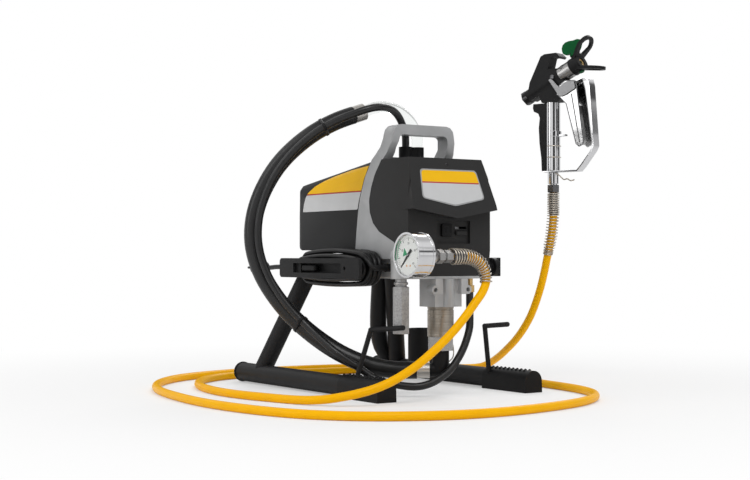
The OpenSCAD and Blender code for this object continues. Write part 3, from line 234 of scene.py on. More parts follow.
def piece(name, vertices, faces, material, smooth=True, **where):
    """A new mesh piece, in packed metres. where holds its slot, which is not used, and its body."""
    mesh = bpy.data.meshes.new(name)
    mesh.from_pydata([tuple(v) for v in vertices], [], faces)
    bm = bmesh.new()
    bm.from_mesh(mesh)
    bmesh.ops.recalc_face_normals(bm, faces=bm.faces)
    bm.to_mesh(mesh)
    bm.free()
    shade(mesh, smooth)
    return riding(name, mesh, material, **where)


def round_edges(obj, width, segments=2, limit=32):
    """Bevels the edges sharper than the limit, in millimetres and degrees."""
    bevel = obj.modifiers.new("edges", "BEVEL")
    bevel.width = width * MM
    bevel.segments = segments
    bevel.limit_method = "ANGLE"
    bevel.angle_limit = math.radians(limit)
    bevel.harden_normals = True
    return obj


def skin(sides, total, ends="caps"):
    """Faces over rings of points that lie one after another. ends says "caps", "open" or "loop"."""
    faces = []
    for first in range(0, total if ends == "loop" else total - sides, sides):
        for k in range(sides):
            a, b = first + k, first + (k + 1) % sides
            faces.append((a, b, (b + sides) % total, (a + sides) % total))
    if ends == "caps":
        faces += [tuple(range(sides)), tuple(range(total - sides, total))]
    return faces


def circle(sides, side, other):
    """Unit vectors round a circle that starts at one side vector and turns to the other."""
    angles = [2 * math.pi * k / sides for k in range(sides)]
    return [math.cos(a) * side + math.sin(a) * other for a in angles]


def tube(name, points, diameter, material, sides=16, start=(0, 0, 1), **where):
    """A round tube along machine points, with flat ends."""
    route = at_all(points)
    radius = diameter / 2 * MM
    vertices = []
    for i, (p, side) in enumerate(zip(route, side_vectors(route, start))):
        vertices += [p + radius * out for out in circle(sides, side, tangent(route, i).cross(side))]
    obj = piece(name, vertices, skin(sides, len(vertices)), material, **where)
    return round_edges(obj, *TUBE_EDGES)


def lathe(name, profile, base, direction, material, sides=48, **where):
    """A turned shape from a machine point. profile holds (distance along direction, radius), and the shape is
    a ring where it ends as it starts."""
    direction = Vector(direction).normalized()
    side = square_to(LATHE_START, direction)
    round_about = circle(sides, side, direction.cross(side))
    vertices = [at(*base) + MM * (s * direction + r * out) for s, r in profile for out in round_about]
    closed = profile[0] == profile[-1]
    obj = piece(name, vertices, skin(sides, len(vertices), "open" if closed else "caps"), material, **where)
    if closed:
        obj.modifiers.new("weld", "WELD").merge_threshold = SAME_POINT
    return round_edges(obj, *LATHE_EDGES)


def plate(name, outlines, place, depth, material, smooth=False, **where):
    """Flat plates of the outlines, which place() puts in the machine. depth is the vector they grow by."""
    vertices, faces = [], []
    for outline in outlines:
        first, n = len(vertices), len(outline)
        near = at_all(place(*p) for p in outline)
        vertices += near + [p + Vector(depth) * MM for p in near]
        faces += [tuple(range(first, first + n)), tuple(range(first + n, first + 2 * n))]
        faces += [(first + i, first + (i + 1) % n, first + n + (i + 1) % n, first + n + i) for i in range(n)]
    return piece(name, vertices, faces, material, smooth, **where)


def slab(name, corners, depth, material, bevel, **where):
    """A plate with rounded edges: machine corners in order, thickened by the depth vector."""
    return round_edges(plate(name, [corners], lambda *p: p, depth, material, True, **where), bevel)


def join(name, objects):
    """Joins pieces of one material and body into one named piece."""
    first = objects[0]
    for obj in objects:
        for modifier in list(obj.modifiers):
            with bpy.context.temp_override(object=obj, active_object=obj, selected_objects=[obj]):
                bpy.ops.object.modifier_apply(modifier=modifier.name)
    with bpy.context.temp_override(object=first, active_object=first, selected_editable_objects=objects,
                                   selected_objects=objects):
        bpy.ops.object.join()
    first.name = name
    return first


def outline_face(points, step):
    """A flat face with the 2-D outline given, cut into squares of the step, as a bmesh in the XY plane."""
    bm = bmesh.new()
    bm.faces.new([bm.verts.new((x, y, 0)) for x, y in points])
    bm.normal_update()
    for axis, normal in enumerate(((1, 0, 0), (0, 1, 0))):
        values = [p[axis] for p in points]
        cut = math.ceil(min(values) / step) * step
        while cut < max(values):
            bmesh.ops.bisect_plane(bm, geom=bm.verts[:] + bm.edges[:] + bm.faces[:],
                                   plane_co=Vector(normal) * cut, plane_no=normal)
            cut += step
    bmesh.ops.triangulate(bm, faces=bm.faces)
    return bm


def tree_of(*names):
    """A ray target made of CAD nodes at rest."""
    vertices, faces = [], []
    for name in names:
        mesh = nodes[name].data
        offset = len(vertices)
        vertices += [v.co.copy() for v in mesh.vertices]
        faces += [tuple(offset + i for i in f.vertices) for f in mesh.polygons]
    return BVHTree.FromPolygons(vertices, faces)


# The way in from each side, and how far out the rays start
SIDES = {"left": (1, 0, 0), "right": (-1, 0, 0), "front": (0, 1, 0)}
RAY_FROM = 400
DECAL_T = 0.4


def decal(name, outline, side, node, material, lift=0.3, step=5.0, **where):
    """A thin coat laid on a CAD node from one side. Its outline is in (x, z) for the front and in (y, z) for
    the left and right, lift is how far it stands off, and step is the size of its squares."""
    tree = tree_of(node)
    bm = outline_face(outline, step)
    way = Vector(SIDES[side])
    hits = []
    for v in bm.verts:
        start = at(v.co.x, -RAY_FROM, v.co.y) if side == "front" else at(-RAY_FROM * way.x, v.co.x, v.co.y)
        hits.append((v, start, tree.ray_cast(start, way)[3]))
    met = [reach for _, _, reach in hits if reach]
    for v, start, reach in hits:
        v.co = start + way * ((reach or sum(met) / len(met)) - lift * MM)
    bm.normal_update()
    if sum(f.normal.dot(way) for f in bm.faces) > 0:
        bmesh.ops.reverse_faces(bm, faces=bm.faces)
    mesh = bpy.data.meshes.new(name)
    bm.to_mesh(mesh)
    bm.free()
    obj = riding(name, mesh, material, **where)
    coat = obj.modifiers.new("coat", "SOLIDIFY")
    coat.thickness = DECAL_T * MM
    coat.offset = -1
    return obj


# ---------- materials ----------

class Wires:
    """Short calls for a node tree."""

    def __init__(self, tree):
        self.nodes, self.links = tree.nodes, tree.links

    def put(self, socket, value):
        """Gives a socket its value, or a link where the value is another node's output."""
        if hasattr(value, "links"):
            self.links.new(value, socket)
        else:
            socket.default_value = value

    def add(self, kind, output, sockets=None, **settings):
        """Adds a node with its settings and sockets, and gives one of its outputs."""
        node = self.nodes.new(f"ShaderNode{kind}")
        for name, value in settings.items():
            setattr(node, name, value)
        for socket, value in (sockets or {}).items():
            self.put(node.inputs[socket], value)
        return node.outputs[output]

    def math(self, operation, *values):
        return self.add("Math", "Value", dict(enumerate(values)), operation=operation)

    def map(self, value, low, high, to_low, to_high, kind="SMOOTHSTEP"):
        return self.add("MapRange", "Result", {"Value": value, "From Min": low, "From Max": high,
                                               "To Min": to_low, "To Max": to_high}, interpolation_type=kind)


# Spans hold the noise's usual values, and the pointiness from flat to a fully lightened edge, where the
# lighter colour is partly wear and partly a painted edge highlight
NOISE_DETAIL = 3
NOISE_SPAN = (0.3, 0.7)
RUBBED_AND_SHEEN_SPAN = (0.52, 0.6)
BLOTCH_SHADE = 0.45
GRAIN_STRENGTH = 0.6
LEAST_ROUGH = 0.02


def surface(name, colour, rough, metal=0.0, mottle=0.06, mottle_mm=25.0, grain=0.02, grain_mm=0.7,
            uneven=0.06, edge_wear_and_sheen=0.0, edge_wear_and_sheen_colour=(0.5, 0.5, 0.5), stretch=(1, 1, 1), specular=0.5, blotch=0.0,
            **sockets):
    """A principled finish: colour that varies over mottle_mm, roughness and bump from a finer grain, and
    lighter edges where the pointiness is high, partly rubbed wear and partly a painted edge highlight. Sizes
    are in millimetres, stretch is the grain's scale along each axis, and sockets holds more of the shader's
    own sockets, with underscores for spaces."""
    material = bpy.data.materials.new(name)
    material.use_nodes = True
    wires = Wires(material.node_tree)
    shader = wires.nodes["Principled BSDF"].inputs
    shader["Metallic"].default_value = metal
    shader["Specular IOR Level"].default_value = specular
    for socket, value in sockets.items():
        shader[socket.replace("_", " ")].default_value = value

    def cloud(size, source):
        return wires.add("TexNoise", "Fac",
                         {"Vector": source, "Scale": 1 / (size * MM), "Detail": NOISE_DETAIL})

    def spread(source, low, high):
        return wires.map(source, *NOISE_SPAN, low, high, "LINEAR")

    def blend(factor, first, second):
        return wires.add("Mix", "Result", {"Factor": factor, "A": first, "B": second}, data_type="RGBA")

    place = wires.add("TexCoord", "Object")
    broad = cloud(mottle_mm, place)
    fine = cloud(grain_mm, wires.add("Mapping", "Vector", {"Vector": place, "Scale": stretch}))
    darker = [c * (1 - mottle) for c in colour]
    lighter = [min(1, c * (1 + mottle)) for c in colour]
    tone = blend(spread(broad, 0, 1), (*darker, 1), (*lighter, 1))
    if blotch:
        tone = blend(spread(fine, 0, blotch), tone, (*[c * BLOTCH_SHADE for c in colour], 1))
    # Edges lightened by pointiness: partly rubbed wear, partly a painted edge highlight
    if edge_wear_and_sheen:
        rubbed_and_sheen = wires.map(wires.add("NewGeometry", "Pointiness"), *RUBBED_AND_SHEEN_SPAN, 0, edge_wear_and_sheen, "LINEAR")
        tone = blend(rubbed_and_sheen, tone, (*edge_wear_and_sheen_colour, 1))
    wires.put(shader["Base Color"], tone)
    wires.put(shader["Roughness"], spread(fine, max(LEAST_ROUGH, rough - uneven), min(1, rough + uneven)))
    if grain:
        wires.put(shader["Normal"], wires.add("Bump", "Normal", {
            "Height": fine, "Strength": GRAIN_STRENGTH, "Distance": grain * MM}))
    return material


# The edge wear settings below lighten edges by pointiness, partly as wear and partly as a painted edge
# highlight
frame_paint = surface("frame_paint", (0.013, 0.013, 0.0138), 0.5, grain=0.02, grain_mm=1.2, edge_wear_and_sheen=0.1,
                      edge_wear_and_sheen_colour=(0.07, 0.07, 0.07), specular=0.2)
black_plastic = surface("black_plastic", (0.007, 0.007, 0.0075), 0.5, grain=0.03, grain_mm=0.5, specular=0.2)
shroud_plastic = surface("shroud_plastic", (0.0085, 0.0085, 0.0093), 0.44, grain=0.03, grain_mm=0.6,
                         mottle=0.04, specular=0.2)
cover_plastic = surface("cover_plastic", (0.024, 0.0236, 0.0236), 0.48, grain=0.03, grain_mm=0.6,
                        mottle=0.04, specular=0.2)
casting_paint = surface("casting_paint", (0.4, 0.405, 0.41), 0.42, metal=0.2, grain=0.05, grain_mm=0.9,
                        edge_wear_and_sheen=0.3, edge_wear_and_sheen_colour=(0.55, 0.55, 0.56))
pump_alloy = surface("pump_alloy", (0.42, 0.425, 0.43), 0.44, metal=0.4, grain=0.05, grain_mm=0.8, edge_wear_and_sheen=0.3,
                     edge_wear_and_sheen_colour=(0.62, 0.62, 0.63))
cast_alloy = surface("cast_alloy", (0.42, 0.42, 0.42), 0.42, metal=0.85, grain=0.12, grain_mm=1.6,
                     mottle=0.2, mottle_mm=3, blotch=0.35)
turned_steel = surface("turned_steel", (0.38, 0.34, 0.29), 0.36, metal=1.0, grain=0.09, grain_mm=1.3,
                       stretch=(0.02, 0.02, 1.0), uneven=0.12, mottle=0.06, mottle_mm=30, blotch=0.35)
brushed_steel = surface("brushed_steel", (0.6, 0.575, 0.54), 0.34, metal=0.8, grain=0.02, grain_mm=0.9)
plain_steel = surface("plain_steel", (0.37, 0.365, 0.36), 0.3, metal=1.0, grain=0.015, grain_mm=0.8,
                      uneven=0.08)
polished_steel = surface("polished_steel", (0.43, 0.43, 0.43), 0.14, metal=1.0, grain=0.01, grain_mm=0.9)
satin_steel = surface("satin_steel", (0.2, 0.2, 0.203), 0.32, metal=1.0, grain=0.02, grain_mm=0.9)
spring_steel = surface("spring_steel", (0.52, 0.475, 0.41), 0.34, metal=1.0, grain=0.01, grain_mm=0.5)
chrome = surface("chrome", (0.62, 0.62, 0.63), 0.1, metal=1.0, grain=0.0, uneven=0.04, mottle=0.03)
machine_steel = surface("machine_steel", (0.35, 0.35, 0.36), 0.35, metal=1.0, grain=0.02)
windings = surface("windings", (0.25, 0.16, 0.1), 0.5, metal=0.5, grain=0.1, grain_mm=1.5)
rubber = surface("rubber", (0.009, 0.009, 0.0095), 0.36, grain=0.02, grain_mm=0.8, mottle=0.1, specular=0.45)
cord_jacket = surface("cord_jacket", (0.008, 0.008, 0.0085), 0.4, grain=0.02, grain_mm=0.9, specular=0.3)
hose_yellow = surface("hose_yellow", (0.99, 0.49, 0.0), 0.36, grain=0.01, grain_mm=1.0, mottle=0.03,
                      specular=0.1)
key_green = surface("key_green", (0.0006, 0.09, 0.022), 0.5, grain=0.02, specular=0.1)
dial_white = surface("dial_white", (0.78, 0.78, 0.76), 0.5, grain=0.0, mottle=0.01)
ink_black = surface("ink_black", (0.01, 0.01, 0.01), 0.45, grain=0.0)
ink_green = surface("ink_green", (0.01, 0.3, 0.12), 0.45, grain=0.0)
label_yellow = surface("label_yellow", (0.9, 0.5, 0.003), 0.36, grain=0.01, mottle=0.02, specular=0.2)
label_red = surface("label_red", (0.5, 0.015, 0.012), 0.36, grain=0.0, mottle=0.02)
label_rim = surface("label_rim", (0.36, 0.365, 0.37), 0.34, metal=0.5, grain=0.01, mottle=0.02)
dark_steel = surface("dark_steel", (0.12, 0.12, 0.125), 0.3, metal=0.9, grain=0.01)
ink_orange = surface("ink_orange", (0.75, 0.34, 0.06), 0.45, grain=0.0)
label_silver = surface("label_silver", (0.61, 0.615, 0.62), 0.36, metal=0.3, grain=0.01, mottle=0.02)
brass = surface("brass", (0.62, 0.42, 0.18), 0.26, metal=1.0, grain=0.02)
clear_vinyl = surface("clear_vinyl", (0.9, 0.92, 0.91), 0.05, grain=0.0, uneven=0.02,
                      Transmission_Weight=1.0, IOR=1.12)
lens_glass = surface("lens_glass", (0.97, 0.98, 0.98), 0.03, grain=0.0, uneven=0.01, mottle=0.0,
                     Transmission_Weight=1.0, IOR=1.1)


# ---------- stage ----------
# Soft lamps: name, place and target in metres, width and height, power
LAMPS = [
    ("key", (-0.9, -1.9, 2.7), (0, 0, 0.2), (1.3, 1.3), 31),
    ("side", (-3.0, 0.9, 1.3), (0, 0, 0.25), (0.9, 1.9), 16),
    ("rim", (1.9, 1.5, 2.2), (0, 0, 0.3), (1.3, 1.3), 26),
]
for lamp_name, lamp_at, target, lamp_size, power in LAMPS:
    lamp = bpy.data.lights.new(lamp_name, "AREA")
    lamp.shape = "RECTANGLE"
    lamp.size, lamp.size_y = lamp_size
    lamp.energy = power
    lamp_object = bpy.data.objects.new(lamp_name, lamp)
    lamp_object.location = lamp_at
    lamp_object.rotation_mode = "QUATERNION"
    lamp_object.rotation_quaternion = (Vector(target) - Vector(lamp_at)).to_track_quat("-Z", "Y")
    link(lamp_object)

# The room is white to the eye and through glass. Metal mirrors it with a few dark cards, a shelf and a dimmer
# ceiling round the object, so that chrome has edges. What lights the object from the room is an even level.
# CARD_EDGE is a span of the waves round the room, and CARD_TOP, SHELF and CEILING are spans of height.
WHITE = (1, 1, 1, 1)
LEVEL = 0.6
CARD_LIGHT = 0.04
CARDS = 4
CARD_TURN = 0.6
CARD_EDGE = (-0.55, -0.25)
CARD_TOP = (0.35, 0.6)
SHELF = (0.17, 0.21, 0.3, 0.35)
SHELF_LIGHT = 0.12
CEILING = (0.72, 0.9)
CEILING_LIGHT = 0.35

world = bpy.data.worlds.new("studio")
bpy.context.scene.world = world
world.use_nodes = True
room = Wires(world.node_tree)
direction = room.nodes.new("ShaderNodeSeparateXYZ")
room.put(direction.inputs["Vector"], room.add("TexCoord", "Generated"))
height = direction.outputs["Z"]
azimuth = room.math("ARCTAN2", direction.outputs["Y"], direction.outputs["X"])
waves = room.math("SINE", room.math("MULTIPLY_ADD", azimuth, CARDS, CARD_TURN))
walls = room.map(waves, *CARD_EDGE, CARD_LIGHT, 1)
above = room.map(height, *CARD_TOP, 0, 1)
shelf = room.math("MAXIMUM", room.map(height, *SHELF[:2], 1, SHELF_LIGHT),
                  room.map(height, *SHELF[2:], SHELF_LIGHT, 1))
ceiling = room.map(height, *CEILING, 1, CEILING_LIGHT)
cards = room.math("MULTIPLY", room.math("MAXIMUM", walls, above), room.math("MULTIPLY", shelf, ceiling))
ray = room.nodes.new("ShaderNodeLightPath").outputs
seen = room.math("MAXIMUM", ray["Is Camera Ray"], ray["Is Transmission Ray"])
mirrored = room.math("MULTIPLY", ray["Is Glossy Ray"], cards)
plain = room.math("MULTIPLY", room.math("SUBTRACT", 1, ray["Is Glossy Ray"]), LEVEL)
backdrop = room.nodes["Background"].inputs
room.put(backdrop["Color"], WHITE)
room.put(backdrop["Strength"], room.math("MAXIMUM", seen, room.math("MAXIMUM", mirrored, plain)))

# The floor keeps its shadow near the object and turns to white further out: from the first distance to the
# second, in metres, the share of white goes from the first to the second
FLOOR_HALF = 9
GLOW_FROM = (0.35, 1.3)
FLOOR_GLOW = (0.35, 1.0)
FLOOR_GREY = (0.9, 0.9, 0.9, 1)
FLOOR_ROUGH = 0.85
FLOOR_SPECULAR = 0.2

floor_mesh = bpy.data.meshes.new("floor")
floor_corners = [(sx * FLOOR_HALF, sy * FLOOR_HALF, 0) for sx, sy in ((-1, -1), (1, -1), (1, 1), (-1, 1))]
floor_mesh.from_pydata(floor_corners, [], [(0, 1, 2, 3)])
floor = bpy.data.objects.new("floor", floor_mesh)
link(floor)
floor_material = bpy.data.materials.new("floor")
floor_material.use_nodes = True
ground = Wires(floor_material.node_tree)
floor_shader = ground.nodes["Principled BSDF"]
for socket, value in (("Base Color", FLOOR_GREY), ("Roughness", FLOOR_ROUGH),
                      ("Specular IOR Level", FLOOR_SPECULAR)):
    ground.put(floor_shader.inputs[socket], value)
away = ground.add("VectorMath", "Value", {0: ground.add("TexCoord", "Object")}, operation="LENGTH")
share = ground.math("MULTIPLY", ground.add("LightPath", "Is Camera Ray"),
                    ground.map(away, *GLOW_FROM, *FLOOR_GLOW))
glow = ground.add("Emission", "Emission", {"Color": WHITE})
floor_mix = ground.add("MixShader", "Shader", {"Fac": share, 1: floor_shader.outputs["BSDF"], 2: glow})
ground.put(ground.nodes["Material Output"].inputs["Surface"], floor_mix)
floor_mesh.materials.append(floor_material)


# ---------- hoses and cord ----------
SUCTION_ROUTE = [
    (-30, -143, 39), (-54, -125, 39), (-76, -109, 42), (-100, -90, 50), (-126, -68, 65),
    (-150, -44, 86), (-172, -18, 112), (-194, 0, 142), (-212, 18, 178), (-223, 29, 214),
    (-228, 32, 250), (-225, 29, 288), (-215, 19, 326), (-199, 3, 362), (-179, -17, 391),
    (-154, -40, 416), (-124, -57, 434), (-97, -62, 444),
]
RETURN_ROUTE = [
    (56, -168, 161), (56, -168, 143), (54, -171, 122), (50, -175, 104), (41, -179, 86), (30, -183, 70),
    (17, -186, 55), (2, -187, 40), (-16, -186, 28.5), (-33, -183, 20.5), (-50, -177, 16.5),
    (-64, -167, 16.5), (-77, -154, 19), (-91, -140, 23), (-104, -127, 30), (-117, -116, 42),
    (-132, -105, 54), (-150, -90, 70), (-163, -66, 90), (-176, -42, 112), (-197, -22, 142),
    (-214, -4, 178), (-225, 7, 214), (-230, 10.5, 250), (-228, 7, 288), (-219, -2, 326),
    (-205, -17, 360), (-187, -37, 389), (-165, -60, 414), (-143, -84, 431), (-122, -105, 442),
    (-104, -116, 449), (-84, -118, 453), (-62, -111, 453), (-42, -101, 448), (-26, -92, 438),
    (-15, -86, 424), (-11.5, -86, 410), (-11.5, -86, 387),
]
CLEAR_ROUTE = [
    (-62, -68.5, 457), (-40, -73, 459), (-18, -77, 453), (-2, -81, 440), (7, -84, 425),
    (11.5, -86, 409), (11.5, -86, 398), (11.5, -86, 387),
]
HOSE_ROUTE = [
    (-46, -253, 218), (-33, -253, 218), (-18, -253, 218), (-3, -253, 215.5), (10, -254, 208),
    (18.5, -254, 196), (21, -255, 181), (13, -256, 164), (0, -256, 149), (-20, -257, 128),
    (-44, -257, 105), (-76, -257, 80), (-113, -258, 56), (-150, -258, 38), (-180, -253, 26.5),
    (-204, -244, 19.5), (-224, -231, 14.5), (-242, -211, 10), (-258, -183, 7.5), (-269, -148, 6.5),
    (-281, -104, 6.5), (-293, -50, 6.5), (-297, 10, 6.5), (-288, 82, 6.5), (-264, 152, 6.5),
    (-218, 220, 6.5), (-150, 264, 6.5), (-70, 272, 6.5), (10, 262, 6.5), (90, 250, 6.5),
    (150, 240, 6.5), (192, 206, 6.5), (215, 150, 6.5), (226, 70, 6.5), (229, -20, 6.5),
    (222, -110, 6.5), (213, -180, 6.5), (202, -250, 6.5), (178, -318, 6.5), (134, -375, 6.5),
    (64, -420, 6.5), (-30, -448, 6.5), (-125, -459, 6.5), (-215, -445, 6.5), (-300, -398, 6.5),
    (-356, -325, 6.5), (-385, -225, 6.5), (-394, -115, 6.5), (-384, -5, 6.5), (-366, 85, 6.5),
    (-334, 165, 6.5), (-284, 235, 6.5), (-215, 290, 6.5), (-111, 325, 6.5), (-5, 332, 6.5),
    (95, 320, 6.5), (190, 288, 6.5), (262, 244, 6.5), (302, 190, 6.5), (312, 130, 12), (302, 75, 29),
    (288, 24, 51), (279, -20, 77), (272, -62, 115), (267.5, -94, 166), (265, -113, 214),
    (263.5, -126, 252), (263, -132, 290), (263, -132, 326.5),
]
SUCTION_D = 28
RETURN_D = 12
CLEAR_D = 18
HOSE_D = 13
CORD_D = 8
STRAINER_REACH = 20
CLEAR_STRAIGHT = 4
SEAM = 0.3

suction_line = vectors(SUCTION_ROUTE)
suction_route = smoothed(suction_line)
suction_hose = tube("suction_hose_skin", suction_route, SUCTION_D, rubber, 32, slot="cord_rubber")
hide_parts("suction_hose")

return_route = smoothed(vectors(RETURN_ROUTE))
return_hose = tube("return_hose_skin", return_route, RETURN_D, rubber, 24, slot="cord_rubber")
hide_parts("return_hose")

# The clear tube goes on from the end of the strainer on the suction hose
strainer_way = (suction_line[-1] - suction_route[-2]).normalized()
clear_start = suction_line[-1] + strainer_way * STRAINER_REACH + strainer_way * SEAM
clear_route = smoothed([clear_start + strainer_way * CLEAR_STRAIGHT] + vectors(CLEAR_ROUTE), 3)
clear_route = [clear_start] + clear_route
clear_tube = tube("clear_tube_skin", clear_route, CLEAR_D, clear_vinyl, 48, slot="clear_plastic")
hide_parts("clear_tube")

hose_line = vectors(HOSE_ROUTE)
hose_length = route_length(hose_line)
hose_route = smoothed(hose_line)
hose = tube("high_pressure_hose_skin", hose_route, HOSE_D, hose_yellow, 28, slot="hose_yellow")
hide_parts("high_pressure_hose")

# The hose's springs, wound round its route. Their spans are distances along it, from the pump's end and from
# the gun's end. The gun's spring is narrow for its first turns and then widens over one turn.
POINTS_A_TURN = 16
PUMP_SPRING_TURNS = 18
PUMP_SPRING_SPAN = (1, 92)
PUMP_SPRING_RADII = (12.1, 8.4)
PUMP_WIRE_D = 2.4
GUN_SPRING_TURNS = (4, 12, 12)
GUN_SPRING_SPANS = (108, 98, 37, 1.3)
GUN_SPRING_RADII = (7.8, 9.6)
GUN_WIRE_D = 1.9

shares = [i / (PUMP_SPRING_TURNS * POINTS_A_TURN) for i in range(PUMP_SPRING_TURNS * POINTS_A_TURN + 1)]
pump_spring_line = curl(hose_line, [ramp(PUMP_SPRING_SPAN, f) for f in shares],
                        [ramp(PUMP_SPRING_RADII, f) for f in shares], 1 / POINTS_A_TURN, (0, 1, 0))
pump_spring = tube("pump_hose_spring_wire", pump_spring_line, PUMP_WIRE_D, spring_steel, 10, (1, 0, 0),
                   slot="worked_steel")
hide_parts("pump_hose_spring")

gun_distances = []
for part, turns in enumerate(GUN_SPRING_TURNS):
    points = turns * POINTS_A_TURN
    gun_distances += [hose_length - ramp(GUN_SPRING_SPANS[part:part + 2], i / points) for i in range(points)]
gun_distances.append(hose_length - GUN_SPRING_SPANS[-1])
gun_radii = [ramp(GUN_SPRING_RADII, max(0, min(1, i / POINTS_A_TURN - GUN_SPRING_TURNS[0])))
             for i in range(len(gun_distances))]
gun_spring_line = curl(hose_line, gun_distances, gun_radii, 1 / POINTS_A_TURN, (1, 0, 0))
gun_spring = tube("gun_hose_spring_wire", gun_spring_line, GUN_WIRE_D, spring_steel, 10, slot="worked_steel")
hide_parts("gun_hose_spring")

# Steel sleeves that close the hose's ends, inside the springs
PUMP_SLEEVE = (2, 27)
PUMP_SLEEVE_D = 17
GUN_SLEEVE = (38, 0.5)
GUN_SLEEVE_D = 15
SLEEVE_STEPS = 12


def sleeve_line(low, high):
    return [along(hose_line, ramp((low, high), i / SLEEVE_STEPS))[0] for i in range(SLEEVE_STEPS + 1)]


tube("pump_hose_sleeve", sleeve_line(*PUMP_SLEEVE), PUMP_SLEEVE_D, dark_steel, 24, (0, 1, 0),
     slot="worked_steel")
tube("gun_hose_sleeve", sleeve_line(*[hose_length - reach for reach in GUN_SLEEVE]), GUN_SLEEVE_D, dark_steel,
     24, (1, 0, 0), slot="worked_steel")

# The power cord: from its strain relief in loops round the bracket's hub, then back to its plug. A loop has
# points along its top, round its rear end, along its bottom and round its front end.
BRACKET_FACE = -132
BRACKET_T = 6
STRAND_PITCH = CORD_D + 0.7
HUB_Y = (-98, 54)
HUB_Z = 199
HUB_R = 15
HUB_BULGES = (4.5, 2.5)
RUN_POINTS = 4
END_POINTS = 7
END_STEP = 180 / (END_POINTS - 1)
LOOP_POINTS = 2 * (RUN_POINTS + END_POINTS)
INNER_LOOPS = 4
OUTER_LOOPS = 3
FIRST_POINT = -2
LAST_POINTS = 6
EXIT_LANE = BRACKET_FACE + BRACKET_T + CORD_D / 2 + SEAM
OUTER_LANE = EXIT_LANE + STRAND_PITCH * (INNER_LOOPS - OUTER_LOOPS + LAST_POINTS / LOOP_POINTS)
OUTER_END = OUTER_LANE + STRAND_PITCH * OUTER_LOOPS
ENTRY = [(-96, -133.5, 200), (-104.5, -133.5, 200), (OUTER_LANE + 1.2, -131.5, 203.5),
         (OUTER_LANE - 0.9, -127, 210), (OUTER_LANE - 1.2, -120, 216)]
EXIT = [(75, 207), (84, 202), (93, 200), (112, 200), (124, 200), (142, 199.7), (156, 198.8), (165, 198.2),
        (172, 198.2)]


def around_hub(k, lift):
    """A loop's point number k in (y, z)."""
    r = HUB_R + lift
    below, j = divmod(k, RUN_POINTS + END_POINTS)
    y_from, y_to = HUB_Y[below], HUB_Y[1 - below]
    if j < RUN_POINTS:
        f = (j + 1) / (RUN_POINTS + 1)
        out = r + HUB_BULGES[below] * 4 * f * (1 - f)
        return y_from + (y_to - y_from) * f, HUB_Z - out if below else HUB_Z + out
    a = math.radians(90 + 180 * below - END_STEP * (j - RUN_POINTS))
    return y_to + r * math.cos(a), HUB_Z + r * math.sin(a)


def strand(i, x, direction, lift):
    """Point number i of loops that move on by a strand's pitch each turn."""
    return Vector((x + direction * STRAND_PITCH * i / LOOP_POINTS, *around_hub(i % LOOP_POINTS, lift)))


cord_line = vectors(ENTRY)
cord_line += [strand(i, OUTER_LANE, 1, STRAND_PITCH)
              for i in range(FIRST_POINT, OUTER_LOOPS * LOOP_POINTS + 1)]
cord_line += [strand(i, OUTER_END, -1, 0) for i in range(1, INNER_LOOPS * LOOP_POINTS + LAST_POINTS)]
cord_line += vectors((EXIT_LANE, y, z) for y, z in EXIT)
cord_route = smoothed(cord_line, 1)
power_cord = tube("power_cord_jacket", cord_route, CORD_D, cord_jacket, 16, slot="cord_rubber")
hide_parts("power_cord_hank", "power_cord_tail")


def declare(route):
    """Works out a hose's or cord's route in the imported frame's metres, and does nothing more with it."""
    path = at_all(route)


declare(suction_route)
declare(clear_route)
declare(return_route)
declare(hose_route)
declare(cord_route)


# ---------- finishes of the CAD nodes ----------
# Faces that meet at less than this are merged into one
FLAT_ANGLE = 0.6


def dress(names, material, bevel, segments=2, limit=32):
    """Gives CAD nodes their finish, smooth shading and, where bevel isn't 0, small rounded edges."""
    for name in names.split():
        obj = nodes[name]
        mesh = obj.data
        for attribute in [a for a in mesh.attributes if a.name == "custom_normal"]:
            mesh.attributes.remove(attribute)
        mesh.materials.clear()
        mesh.materials.append(material)
        shade(mesh)
        obj.modifiers.new("weld", "WELD").merge_threshold = SAME_POINT
        flat = obj.modifiers.new("flat", "DECIMATE")
        flat.decimate_type = "DISSOLVE"
        flat.angle_limit = math.radians(FLAT_ANGLE)
        flat.delimit = {"MATERIAL"}
        if bevel:
            round_edges(obj, bevel, segments, limit)


dress("left_rail right_rail left_leg right_leg rear_stay frame_bridge", frame_paint, 0.5)
dress("pail_hooks", frame_paint, 0.6, 2, 45)
dress("rail_end_plugs left_foot right_foot hose_sockets", black_plastic, 0.8)
dress("drip_cup", black_plastic, 0.6)
dress("cord_bracket", frame_paint, 1.0)
dress("gear_housing", casting_paint, 1.6, 3)
dress("motor_shroud", shroud_plastic, 1.4, 3)
dress("front_cover", cover_plastic, 0.9, 3)
dress("oil_button power_switch strain_relief inlet_elbow", black_plastic, 0.6)
dress("relief_knob pressure_knob", black_plastic, 3.0, 4, 40)
dress("cooling_fan plug", black_plastic, 0.4)
dress("screws inlet_valve relief_valve piston_rod", plain_steel, 0.4)
dress("suction_ferrule suction_strainer", brushed_steel, 0.4)
dress("pump_cylinder", turned_steel, 0.8)
dress("return_fitting", brass, 0.4)
dress("pump_block", pump_alloy, 1.6, 3)
dress("filter_housing", cast_alloy, 0.8)
dress("motor_can", windings, 0.5)
dress("motor_rotor crank_gear piston_yoke", machine_steel, 0.2, 1)
dress("outlet_tee", plain_steel, 0.5)
dress("gun_swivel", chrome, 0.5)
dress("gauge_case", chrome, 0.8, 3)
dress("gauge_needle", ink_black, 0)
dress("gauge_lens", lens_glass, 0.2)
dress("handle_tube", chrome, 0.4)
dress("retainer_nut", plain_steel, 0.6)
dress("gun_body gun_grip", black_plastic, 1.6, 3)
dress("tip_guard", black_plastic, 1.2, 3)
dress("spray_tip", key_green, 1.8, 3, 40)
dress("trigger", polished_steel, 1.1)
